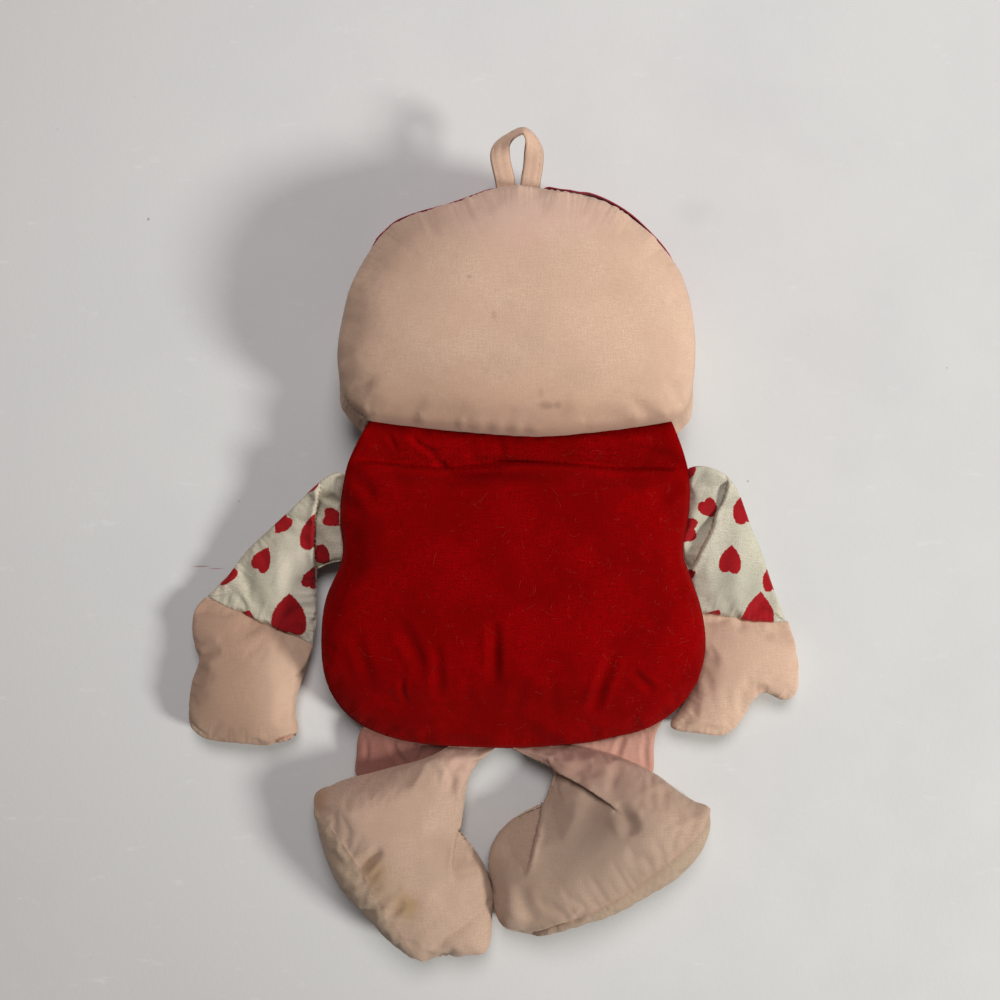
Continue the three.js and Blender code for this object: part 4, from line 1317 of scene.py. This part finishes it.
def makeHand(side):
    spec = hands[side]
    first, last = np.array(spec["cuff"][0]), np.array(spec["cuff"][-1])
    across = (last - first) / np.linalg.norm(last - first)
    tuck = np.array([-across[1], across[0]])
    tuck *= handShape["tuck"] if tuck[1] > 0 else -handShape["tuck"]
    cuff = [tuple(np.array(q) + tuck) for q in spec["cuff"]]
    outline = [cuff[-1], *spec["outline"][1:-1], cuff[0]]
    ring = ringOf([outline, cuff], cloth["step"] * 0.8)
    panel = cutPanel(ring, cloth["step"] * 0.8, foldLines(spec["creases"]))
    flat = panel["flat"]
    cuffLine = curveThrough(spec["cuff"], 2)
    fromCuff = alongLine(flat, cuffLine)[0]
    rise = puff(panel) ** handShape["fullness"] * (0.35 + 0.65 * ease(fromCuff, 0, handShape["taper"]))
    over = spec["seamZ"] + handShape["top"] * rise
    under = np.maximum(spec["seamZ"] - (spec["seamZ"] + handShape["sag"]) * rise, cloth["lowest"])
    form = closePillow(panel, over, under)
    fillUp(form, pressure=3.0, slack=0.03, most=2.0)
    form = smoothForm(form)
    pressFolds(form, spec, reach=3.0, tuck=0.9)
    gatherAt(form, cuffLine, 5.0, 5.0, 0.2, 41)
    gatherAt(form, ring, 6.0, 3.5, 0.2, 43, True, lambda g: ease(alongLine(g[:, :2], cuffLine)[0], 6, 12))
    gatherAt(form, ring, 5.0, 4.0, 0.45, 44, True, layer=1)
    crumple(form, 30, 0.2, 12)
    pull = lambda g: 0.15 + 0.5 * ease(alongLine(g[:, :2], cuffLine)[0], 12, 30)
    look = shadedLeftHandLook if side == "left" else peachLook
    backCloth = cottonCloth(side + "HandBack", look, handMarks[side])
    back = sewOn(side + "HandBack", form, 0, ring, backCloth, pull=pull)
    palm = sewOn(side + "HandPalm", form, 1, ring, cottonCloth(side + "HandPalm", look), pull=pull)
    wrist = np.array(sleeves[side]["wrist"])
    run = cuffLine[-1] - cuffLine[0]
    down = np.array([run[1], -run[0]]) / np.linalg.norm(run)
    down *= 1 if down[1] < 0 else -1
    start, end = wrist - down * 1.0, wrist + down * 9.0
    for ob, nodes in (
        (back, [side + "_hand_back_panel", side + "_hand_stuffing"]),
        (palm, [side + "_hand_palm_panel"]),
    ):
        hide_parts(*nodes)
        first, last = Vector((*start, hingeZ)) * mm, Vector((*end, hingeZ)) * mm
        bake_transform(ob)


# Legs and feet

legs = {
    "left": {
        "outline": [(-67.6, -57.2), (-69.6, -61.0), (-70.6, -70.0), (-71.0, -79.0), (-66.0, -82.6)],
        "bottom": [(-66.0, -82.6), (-45.0, -79.0), (-28.0, -75.0), (-16.0, -69.8), (-9.2, -66.6)],
        "hip": [(-9.2, -66.6), (-26.0, -65.8), (-43.0, -64.4), (-58.0, -61.1), (-67.6, -57.2)],
        "valleys": [
            ([(-66.0, -62.0), (-66.0, -72.0), (-67.0, -80.0)], 1.2, 0.6),
            ([(-56.0, -63.0), (-53.0, -69.0), (-48.0, -76.0)], 1.6, 0.9),
            ([(-40.0, -65.0), (-41.0, -69.0), (-44.0, -74.0)], 1.4, 0.7),
        ],
        "ankle": [(-70.0, -76.9), (-26.5, -64.1)],
    },
    "right": {
        "hip": [(66.0, -53.4), (53.5, -58.6), (38.5, -62.6), (21.3, -65.1), (6.3, -66.2), (-4.0, -66.4)],
        "bottom": [(-4.0, -66.4), (10.0, -70.4), (24.0, -75.0), (40.0, -79.0), (57.0, -82.0)],
        "outline": [(57.0, -82.0), (61.0, -78.0), (61.4, -68.0), (62.4, -60.0), (66.0, -53.4)],
        "valleys": [
            ([(58.0, -60.0), (57.0, -68.0), (58.0, -77.0)], 1.4, 0.7),
            ([(48.0, -61.0), (46.0, -66.0), (44.0, -72.0)], 1.6, 0.9),
        ],
        "ankle": [(60.0, -74.8), (23.0, -63.2)],
    },
}
feet = {
    "left": {
        "sole": [
            (-89.2, -89.4), (-88.4, -95.6), (-86.6, -103.0), (-83.4, -113.4), (-78.4, -123.6),
            (-70.6, -133.0), (-62.0, -142.2), (-53.0, -150.2), (-44.0, -155.8), (-36.6, -159.2),
        ],
        "toe": [
            (-36.6, -159.2), (-31.0, -158.8), (-26.1, -157.6), (-19.1, -155.6), (-13.4, -154.9),
            (-11.6, -151.8), (-10.7, -140.0), (-10.0, -129.9), (-12.4, -120.3), (-16.9, -112.5),
            (-24.4, -102.4),
        ],
        "inside": [
            (-24.4, -102.4), (-23.6, -97.0), (-22.3, -88.1), (-21.0, -80.6), (-19.3, -76.4), (-15.0, -71.1),
            (-8.4, -66.2),
        ],
        "body": [(-8.4, -66.2), (-19.0, -65.6), (-29.0, -65.2)],
        "fold": [
            (-29.0, -65.2), (-37.3, -69.6), (-47.5, -72.9), (-58.5, -75.8), (-70.3, -79.0), (-81.1, -82.6),
            (-86.0, -84.2), (-88.8, -86.6), (-89.2, -89.4),
        ],
        "seam": [
            (-89.2, -89.4), (-86.2, -91.4), (-80.6, -96.2), (-74.9, -101.8), (-66.8, -112.8),
            (-60.2, -123.2), (-54.0, -133.2), (-47.7, -144.0), (-42.8, -153.0), (-36.6, -159.2),
        ],
        "creases": [
            ([(-24.6, -100.6), (-26.0, -106.0), (-27.4, -112.0), (-27.4, -121.0)], 4.6, 1, (1.5, 10)),
            ([(-40.0, -157.4), (-34.3, -155.4), (-27.5, -155.8), (-22.0, -157.0)], 2.4, -1, (2, 2)),
        ],
        "valleys": [
            ([(-67.5, -113.8), (-62.0, -109.0), (-57.0, -104.8)], 2.2, 1.4),
            ([(-54.6, -133.4), (-51.0, -129.4), (-47.6, -126.0)], 2.0, 1.1),
            ([(-22.6, -73.0), (-27.0, -78.0), (-29.0, -86.0)], 2.6, 1.2),
            ([(-15.0, -71.6), (-24.0, -72.0), (-30.0, -76.0)], 1.8, 0.9),
            ([(-28.5, -117.0), (-31.0, -124.0), (-33.0, -132.0)], 4.0, 0.5),
            ([(-79.0, -90.0), (-83.0, -91.0), (-86.5, -91.6)], 1.4, 0.8),
            ([(-80.0, -108.0), (-74.0, -112.0), (-69.0, -114.0)], 2.0, 0.9),
            ([(-66.0, -133.0), (-60.0, -130.0), (-57.0, -128.0)], 2.4, 0.9),
        ],
    },
    "right": {
        "inside": [
            (-6.4, -64.9), (0.6, -66.8), (8.0, -69.3), (14.4, -72.6), (16.8, -77.0), (15.0, -84.0),
            (12.4, -89.6), (6.6, -93.6),
        ],
        "toe": [
            (6.6, -93.6), (-1.6, -98.0), (-8.6, -105.3), (-11.8, -112.8), (-12.2, -119.2), (-10.8, -126.0),
            (-9.4, -134.3), (-6.6, -141.4), (-2.1, -145.8), (4.4, -148.0),
        ],
        "sole": [
            (4.4, -148.0), (14.0, -146.0), (25.1, -142.7), (40.5, -137.4), (52.4, -132.6), (63.0, -127.0),
            (73.0, -118.8), (81.0, -109.6), (84.4, -101.0), (86.2, -93.2),
        ],
        "fold": [
            (86.2, -93.2), (84.6, -91.4), (78.7, -89.4), (69.0, -83.0), (59.8, -76.9), (51.0, -72.8),
            (42.7, -69.8), (24.0, -65.2),
        ],
        "body": [(24.0, -65.2), (8.0, -65.8), (-6.4, -64.9)],
        "seam": [
            (4.4, -148.0), (7.4, -145.0), (15.4, -140.4), (27.2, -134.6), (40.0, -127.4), (53.5, -118.8),
            (65.0, -110.4), (77.0, -101.4), (83.0, -96.0), (86.2, -93.2),
        ],
        "creases": [
            (
                [
                    (-4.0, -65.2), (2.8, -69.0), (12.1, -73.4), (22.5, -78.0), (31.0, -82.6), (39.0, -87.4),
                    (46.5, -92.6),
                ],
                5.2, -1, (3, 15),
            ),
            (
                [
                    (16.2, -78.0), (13.6, -84.0), (10.8, -92.0), (9.1, -100.0), (6.9, -110.2),
                    (4.6, -119.0),
                ],
                4.4, -1, (3, 14),
            ),
        ],
        "valleys": [
            ([(42.0, -89.0), (47.0, -93.0), (49.6, -99.0)], 3.2, 2.2),
            ([(7.0, -144.4), (17.0, -139.6), (26.6, -135.0)], 1.0, 1.4),
            ([(24.0, -137.0), (26.6, -134.0), (29.6, -131.0)], 1.5, 0.8),
            ([(10.0, -68.4), (28.0, -72.4), (44.0, -79.0)], 2.4, 0.8),
            ([(40.0, -71.0), (50.0, -78.0), (60.0, -85.0)], 2.6, 0.6),
            ([(3.0, -121.0), (4.0, -130.0), (9.0, -137.0)], 3.0, 0.8),
            ([(58.0, -112.0), (52.0, -108.0), (46.0, -106.0)], 2.6, 0.5),
        ],
    },
}
footShape = {
    "rimZ": 9.0,
    "heelZ": 10.0,
    "seamZ": 29.0,
    "toeZ": 24.0,
    "instepZ": 16.0,
    "ankleZ": 10.5,
    "long": 63.0,
    "edge": 12.0,
}
footMarks = {
    "left": [
        stainAndPaintedLight((-60.6, -114.0), 9.0, 0.6, (0.33, 0.20, 0.085), (1, 0.8)),
        stainAndPaintedLight((-46.5, -128.5), 8.5, 0.6, (0.34, 0.21, 0.085), (1, 0.9)),
        stainAndPaintedLight((-55.0, -122.0), 15.0, 0.3, (0.40, 0.27, 0.15)),
        stainAndPaintedLight((-85.4, -87.4), 6.5, 0.7, (0.38, 0.20, 0.11)),
        stainAndPaintedLight((-60.0, -90.0), 26.0, 0.3, (0.52, 0.33, 0.25)),
        stainAndPaintedLight((-24.0, -74.0), 12.0, 0.35, (0.74, 0.46, 0.38)),
    ],
    "right": [
        # painted shade on the panel below the flap's fold and in the dimple at its end
        stainAndPaintedLight((30.0, -104.0), 36.0, 0.45, (0.28, 0.215, 0.16), (0.7, 1)),
        stainAndPaintedLight((44.0, -96.0), 12.0, 0.35, (0.26, 0.18, 0.135), (0.8, 1)),
        # painted shade on the flap
        stainAndPaintedLight((44.0, -76.0), 34.0, 0.35, (0.36, 0.215, 0.165), (0.8, 1.3)),
        stainAndPaintedLight((76.0, -112.0), 12.0, 0.4, (0.50, 0.28, 0.18), (0.8, 1)),
        # painted shade on the flap next to the body, under the body's edge
        stainAndPaintedLight((22.0, -68.0), 30.0, 0.6, (0.30, 0.145, 0.12), (0.6, 1.8)),
        # painted shade on the instep, beside the panel's folded edge
        stainAndPaintedLight((0.0, -120.0), 14.0, 0.4, (0.30, 0.205, 0.15)),
    ],
}
legShape = {"seamZ": 7.4, "drop": 1.6, "top": 1.3, "under": 3.4, "lowest": 0.5, "fullness": 0.6, "step": 1.8}


def makeLeg(side):
    spec = legs[side]
    order = ["outline", "bottom", "hip"] if side == "left" else ["hip", "bottom", "outline"]
    ring = ringOf([spec[k] for k in order], legShape["step"])
    panel = cutPanel(ring, legShape["step"])
    rise = puff(panel) ** legShape["fullness"]
    seamZ = legShape["seamZ"] - legShape["drop"] * ease(-panel["flat"][:, 1], 62, 78)
    under = np.maximum(seamZ - legShape["under"] * rise, legShape["lowest"])
    form = closePillow(panel, seamZ + legShape["top"] * rise, under)
    form = smoothForm(form)
    pressFolds(form, spec)
    gatherAt(form, curveThrough(spec["hip"], 2), 4.0, 5.0, 0.5, 51)
    crumple(form, 14, 0.18, 15)
    look = shadedLeftLegLook if side == "left" else legLook
    top = sewOn(side + "LegTop", form, 0, ring, cottonCloth(side + "LegTop", look))
    bottom = sewOn(side + "LegUnder", form, 1, ring, cottonCloth(side + "LegUnder", look))
    for ob in (top, bottom):
        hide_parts(side + "_leg")
        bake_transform(ob)


def footLayers(side, flat, ring, seam):
    # heights of a foot's two layers: fullest along the sole's seam, and thin at the ankle
    spec = feet[side]
    gap = alongLine(flat, ring, True)[0]
    if side == "left":
        others = [q for k in ("toe", "inside", "body", "fold") for q in spec[k][:-1]]
    else:
        others = [*spec["fold"][:-1], *spec["body"][:-1], *spec["inside"][:-1], *spec["toe"]]
    gapOther = alongLine(flat, curveThrough(others, 2))[0]
    fromSeam, run, facing = alongLine(flat, seam)
    onFoot = facing > 0
    length = np.linalg.norm(np.diff(seam, axis=0), axis=1).sum()
    share = np.clip(run / length, 0, 1)
    heelZ, rimZ = footShape["heelZ"], footShape["rimZ"]
    # the sole's seam is highest in the middle of its length, and the upper falls from it to the ankle
    soleTop = heelZ + (footShape["seamZ"] - heelZ) * np.sqrt(np.clip(4 * share * (1 - share), 0, 1)) ** 0.7
    t = np.clip(fromSeam / footShape["long"], 0, 1)
    lowZ = heelZ + (footShape["ankleZ"] - heelZ) * ease(t, 0.3, 0.9)
    full = soleTop + np.maximum(footShape["toeZ"] - soleTop, 0) * ease(fromSeam, 0.5, 16)
    high = full - (full - footShape["instepZ"]) * ease(t, 0.12, 0.95)
    edge = footShape["edge"] - 5.0 * ease(t, 0.55, 0.9)
    upper = lowZ + (high - lowZ) * np.sqrt(1 - (1 - np.clip(gapOther / edge, 0, 1)) ** 2)
    # beyond the seam the sole curves down to the rim
    across = fromSeam / np.maximum(fromSeam + gap, 0.01)
    lower = rimZ + (soleTop - rimZ) * np.sqrt(np.clip(1 - across**2, 0, 1))
    over = np.where(onFoot | (fromSeam < 0.3), upper, lower)
    # both layers come together at the ankle and where they reach under the body
    nearBody = ease(flat[:, 1], -71, -64.5)
    over = over - (over - 8.4) * nearBody
    ankle = ease(t, 0.62, 0.92)
    under = rimZ - 9.5 * np.sqrt(1 - (1 - np.clip(gap / 12, 0, 1)) ** 2)
    under = np.maximum(under, cloth["lowest"])
    under = np.minimum(under + (8.9 - under) * ankle, over - 0.6)
    under = under - (under - 7.2) * nearBody * 0.6
    return over, under


def makeFoot(side):
    spec = feet[side]
    order = ["sole", "toe", "inside", "body", "fold"]
    if side == "right":
        order = ["inside", "toe", "sole", "fold", "body"]
    step = cloth["step"] * 0.8
    ring = ringOf([spec[k] for k in order], step)
    seam = curveThrough(spec["seam"], step)
    panel = cutPanel(ring, step, [seam, *foldLines(spec["creases"])])
    form = closePillow(panel, *footLayers(side, panel["flat"], ring, seam))
    fromSeam, run, _ = alongLine(panel["flat"], seam)
    seamIds = [int(i) for i in np.nonzero(fromSeam < 0.2)[0]]
    fillUp(form, pressure=2.5, slack=0.03, most=2.4, pinned=seamIds)
    lineIds = sorted(seamIds, key=lambda i: run[i])
    form = smoothForm(form, [lineIds])
    pressFolds(form, spec, reach=14.0)
    gatherAt(form, seam, 8.0, 5.0, 0.45 if side == "left" else 0.1, 61)
    gatherAt(form, ring, 6.0, 4.0, 0.4, 63, True, layer=1)
    crumple(form, 28, 0.35, 18)
    splitSole(form, seam, spec["sole"])
    parts = [
        ("FootUpper", ["_foot_upper_side", "_foot_stuffing"], footLook, footMarks[side]),
        ("FootLower", ["_foot_lower_side"], footLook, ()),
        ("Sole", ["_foot_sole"], soleLook, ()),
    ]
    a, b = (np.array(q) for q in legs[side]["ankle"])
    across = (b - a) / np.linalg.norm(b - a)
    down = np.array([across[1], -across[0]])
    down *= 1 if down[1] < 0 else -1
    for part, (name, nodes, look, marks) in enumerate(parts):
        material = cottonCloth(side + name, look, marks)
        ob = sewOn(side + name, form, part, seam, material, closed=False)
        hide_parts(*[side + node for node in nodes])
        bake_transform(ob)


def splitSole(form, seam, soleEdge):
    # faces beyond the sole seam, over and under the widest edge, are the sole's
    grain = form["grain"]
    centres = np.array([grain[list(f)].mean(axis=0) for f in form["faces"]])
    facing = alongLine(centres[:, :2], seam)[2]
    edge = curveThrough(soleEdge, 2)
    low = alongLine(centres[:, :2], edge)[0] < 7
    side = np.array(form["side"])
    beyond = (facing < 0) & (side == 0)
    below = (facing < 0) & (side == 1) & low
    form["side"] = np.where(beyond | below, 2, side)


# Hanging loop

loop = {
    "line": [
        (-4.3, 173.6, 31.6), (-4.9, 178.0, 31.8), (-6.3, 184.0, 31.9), (-6.9, 188.6, 31.9),
        (-5.9, 192.2, 32.0), (-2.8, 195.4, 32.2), (0.6, 197.4, 32.4), (3.2, 198.0, 32.4),
        (5.4, 196.2, 32.2), (7.0, 192.6, 32.0), (7.3, 188.0, 31.9), (6.8, 182.0, 31.9), (6.1, 178.0, 31.8),
        (5.7, 173.6, 31.6),
    ],
    "wide": 8.4,
    "thick": 1.5,
    "stitch": 1.5,  # the line of stitches is this far in from the inner edge
    "step": 0.7,
    "under": 60,  # height of the tape's other side in its flat cloth
}


def sweepTape(line, across):
    # the tape's sections along the loop: their points and flat places, and the line of stitches
    n = len(line)
    vertices, grain, stitchLine = [], [], []
    for k, place in enumerate(line):
        t = k / (n - 1)
        along = line[min(k + 1, n - 1)] - line[max(k - 1, 0)]
        along /= np.linalg.norm(along)
        flatSide = np.cross(along, (0, 0, 1.0))
        turn = 0.92 * float(ease(1 - abs(2 * t - 1), 0.42, 0.9))
        wide = flatSide * math.cos(turn) + np.array([0, 0, 1.0]) * math.sin(turn)
        thick = np.cross(along, wide)
        taper = 1 - 0.12 * float(ease(1 - abs(2 * t - 1), 0.5, 1.0))
        wave = 0.10 * math.sin(k * 0.9) + 0.08 * math.sin(k * 0.37 + 1)
        for side in (1, -1):
            for u in across if side == 1 else across[::-1]:
                half = loop["thick"] / 2 * (1 - abs(u) ** 6) ** 0.5
                inset = (1 + u) * loop["wide"] / 2
                half *= 1 - 0.5 * math.exp(-(((inset - loop["stitch"]) / 0.45) ** 2))
                half *= 1 - 0.25 * math.exp(-(((u - 0.1) / 0.08) ** 2))
                out = side * half + wave * (1 - u * u) * 0.6
                vertices.append(place + wide * (u * loop["wide"] / 2 * taper) + thick * out)
                layer = loop["under"] if side < 0 else 0
                grain.append((u * loop["wide"] / 2, k * loop["step"], layer))
        u = -1 + 2 * loop["stitch"] / loop["wide"]
        onLine = place + wide * (u * loop["wide"] / 2 * taper)
        for side in (1, -1):
            stitchLine.append((side, Vector(onLine + thick * (side * 0.5)) * mm))
    return np.array(vertices), np.array(grain), stitchLine


def makeLoop():
    line = curveThrough(loop["line"], loop["step"])
    across = np.linspace(-1, 1, 15)
    vertices, grain, stitchLine = sweepTape(line, across)
    n, count = len(line), 2 * len(across)
    faces = []
    for k in range(n - 1):
        for j in range(count):
            a, b = k * count + j, k * count + (j + 1) % count
            faces.append((a, b, b + count, a + count))
    faces += [tuple(range(count - 1, -1, -1)), tuple(range((n - 1) * count, n * count))]
    ob = addObject("hangingLoop", (vertices * mm).tolist(), faces)
    edgeGap = loop["wide"] / 2 - np.abs(grain[:, 0])
    seam = np.stack([edgeGap * mm, grain[:, 1] * mm, 0.5 + 0 * edgeGap], axis=1)
    addPlaces(ob.data, {"grain": grain * mm, "seam": seam})
    ob.data.materials.append(cottonCloth("loopCotton", loopLook))
    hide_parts("hanging_loop")
    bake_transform(ob)
    strands = []
    for side in (1, -1):
        spots = [q for s, q in stitchLine if s == side]
        strands += [spots[k : k + 3] for k in range(0, len(spots) - 3, 4)]
    thread = layThread("loopStitches", strands, 0.14, simpleFinish("loopThread", (0.62, 0.46, 0.36)))
    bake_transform(thread)


# Stitches and lint

def makeHeadStitches(back):
    # the dark thread that shows where the perimeter seam is strained, low on the head's left side
    surface = surfaceOf(back)
    path = curveThrough([(-72.2, 86.4), (-69.6, 82.0), (-66.0, 78.8), (-63.0, 77.2)], 1.0)
    strands = []
    for k in range(0, len(path) - 1, 2):
        ends = [onSurface(surface, *(place + (0.5, 0.5)), True, 0.12) for place in path[k : k + 2]]
        if all(e is not None for e in ends):
            strands.append([ends[0], (ends[0] + ends[1]) / 2 + Vector((0, 0, 0.0001)), ends[1]])
    if strands:
        thread = layThread("headStitches", strands, 0.16, simpleFinish("darkThread", (0.16, 0.09, 0.08)))
        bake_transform(thread)


lint = {"count": 380, "radius": 0.019, "seed": 4}


def makeLint(back):
    # stray pale fibres caught on the red back, thickest on its right side
    surface = surfaceOf(back)
    rng = np.random.default_rng(lint["seed"])
    strands = []
    while len(strands) < lint["count"]:
        x, y = rng.uniform(-80, 80), rng.uniform(-62, 70)
        if rng.uniform() > 0.35 + 0.65 * float(ease(x, -20, 60)):
            continue
        turn, bend = rng.uniform(0, 2 * math.pi), rng.normal(0, 0.2)
        length = rng.uniform(1.0, 3.5) if rng.uniform() < 0.8 else rng.uniform(3.5, 9.0)
        steps = 7
        line = []
        for _ in range(steps):
            line.append(onSurface(surface, x, y, True, 0.12))
            x += math.cos(turn) * length / steps
            y += math.sin(turn) * length / steps
            turn += bend
        if all(q is not None for q in line):
            strands.append(line)
    finish = simpleFinish("lint", (0.46, 0.095, 0.075), rough=0.9)
    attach(layThread("lint", strands, lint["radius"], finish, sides=3), "torso")


# Floor, light and camera

studio = {
    "floorColour": (0.66, 0.66, 0.645),
    # the colour of the painted shade on the floor's darker parts
    "floorPaintedShade": (0.50, 0.49, 0.47),
    "floorMarks": [
        (-165.3, 169.6, 1.0, 1, (0.05, 0.05, 0.06)), (-124.4, 42.6, 0.8, 1, (0.06, 0.06, 0.06)),
        (104.7, 51.6, 0.9, 1, (0.08, 0.08, 0.08)), (130.0, -98.0, 0.6, 1, (0.12, 0.11, 0.10)),
        (-141.5, 13.2, 6.0, 13, (0.42, 0.14, 0.16)), (-134.5, 12.2, 5.0, 12, (0.46, 0.18, 0.20)),
        (81.0, 173.0, 12.0, 1.3, (0.60, 0.60, 0.59)), (-160.0, -90.0, 0.6, 1, (0.15, 0.14, 0.13)),
    ],
    # place, size, power and colour
    "key": ((2.42, -0.93, 1.60), 0.66, 79.0, (1.0, 1.0, 0.965)),
    "window": ((0.10, 1.62, 2.52), 1.5, 50.0, (1.0, 0.965, 0.98)),
    "aim": (0, 0.02, 0),
    "room": (1.0, 0.965, 0.985),
    "roomLight": 0.10,
    "lens": 38.4,
    "camera": (-0.0069, 0.0431, 0.480),
}


def makeFloor():
    size, low = 1.6, -0.0004
    corners = [(x * size, y * size, low) for x, y in ((-1, -1), (1, -1), (1, 1), (-1, 1))]
    ob = addObject("floor", corners, [(0, 1, 2, 3)], smooth=False)
    material = bpy.data.materials.new("paintedBoard")
    material.use_nodes = True
    tree = material.node_tree
    shader = tree.nodes["Principled BSDF"]
    place = addNode(tree, "TexCoord", {}).outputs["Object"]
    parts = addNode(tree, "SeparateXYZ", {0: place}).outputs
    # painted shade: the board darkens towards the left and far up and down it, as the light falls off there
    paintedFloorShade = calc(tree, "MULTIPLY_ADD", parts[1], 0.45, parts[0])
    corner = calc(tree, "MULTIPLY", calc(tree, "MULTIPLY", parts[1], parts[1]), -2.2)
    paintedFloorShade = calc(tree, "ADD", paintedFloorShade, corner)
    colour = mixed(tree, between(tree, paintedFloorShade, -0.48, -0.02), studio["floorPaintedShade"], studio["floorColour"])
    cloudy = between(tree, noiseAt(tree, place, 14.0, 4.0, 0.6), 0.35, 0.7, 0.0, 0.35)
    colour = mixed(tree, cloudy, colour, (0.58, 0.58, 0.575))
    specks = between(tree, noiseAt(tree, place, 260.0, 2.0, 0.5), 0.78, 0.84, 0.0, 0.4)
    colour = mixed(tree, specks, colour, (0.22, 0.20, 0.19))
    streaks = noiseAt(tree, vectorCalc(tree, "MULTIPLY", place, (1, 3.0, 1)), 45.0, 5.0, 0.7)
    scuffed = between(tree, streaks, 0.60, 0.72, 0.0, 0.22)
    colour = mixed(tree, scuffed, colour, (0.80, 0.80, 0.79))
    for x, y, reach, flat, tone in studio["floorMarks"]:
        feeds = {"Grain": place, "Place": (x * mm, y * mm, 0), "Reach": reach * mm, "Stretch": (1, flat, 1)}
        mask = calc(tree, "MULTIPLY", useGroup(tree, "stainAndPaintedLight", feeds)["Mask"], 0.8)
        colour = mixed(tree, mask, colour, tone)
    tree.links.new(colour, shader.inputs["Base Color"])
    grainHeight = calc(tree, "MULTIPLY", noiseAt(tree, place, 500.0, 3.0, 0.6), 0.0001)
    bump = addNode(tree, "Bump", {"Height": grainHeight, "Strength": 0.6, "Distance": 1.0})
    tree.links.new(bump.outputs[0], shader.inputs["Normal"])
    shader.inputs["Roughness"].default_value = 0.62
    shader.inputs["Specular IOR Level"].default_value = 0.2
    ob.data.materials.append(material)


def addLamp(name, place, size, power, colour):
    lamp = bpy.data.lights.new(name, "AREA")
    lamp.shape = "DISK"
    lamp.size = size
    lamp.energy = power
    lamp.color = colour
    ob = bpy.data.objects.new(name, lamp)
    ob.location = place
    ob.rotation_euler = (Vector(studio["aim"]) - Vector(place)).to_track_quat("-Z", "Y").to_euler()
    bpy.context.scene.collection.objects.link(ob)


def makeStudio():
    makeFloor()
    for name in ("key", "window"):
        addLamp(name, *studio[name])
    world = bpy.data.worlds.new("room")
    world.use_nodes = True
    background = world.node_tree.nodes["Background"]
    background.inputs["Color"].default_value = (*studio["room"], 1)
    background.inputs["Strength"].default_value = studio["roomLight"]
    bpy.context.scene.world = world
    bpy.context.scene.view_settings.view_transform = "Standard"
    camera = bpy.data.cameras.new("camera")
    camera.sensor_width = 36
    camera.lens = studio["lens"]
    ob = bpy.data.objects.new("camera", camera)
    ob.location = studio["camera"]
    bpy.context.scene.collection.objects.link(ob)
    bpy.context.scene.camera = ob


makeStudio()
print("stage: floor, lamps and camera are up")
headBack = makeHead()
makeHeadStitches(headBack)
makeLoop()
print("stage: head, hair, face and loop are sewn")
bodyBack = makeBody()
makeLint(bodyBack)
print("stage: body is sewn")
for armSide in ("left", "right"):
    makeSleeve(armSide)
    makeHand(armSide)
print("stage: arms are sewn")
for legSide in ("left", "right"):
    makeLeg(legSide)
    makeFoot(legSide)
print("stage: legs and feet are sewn")
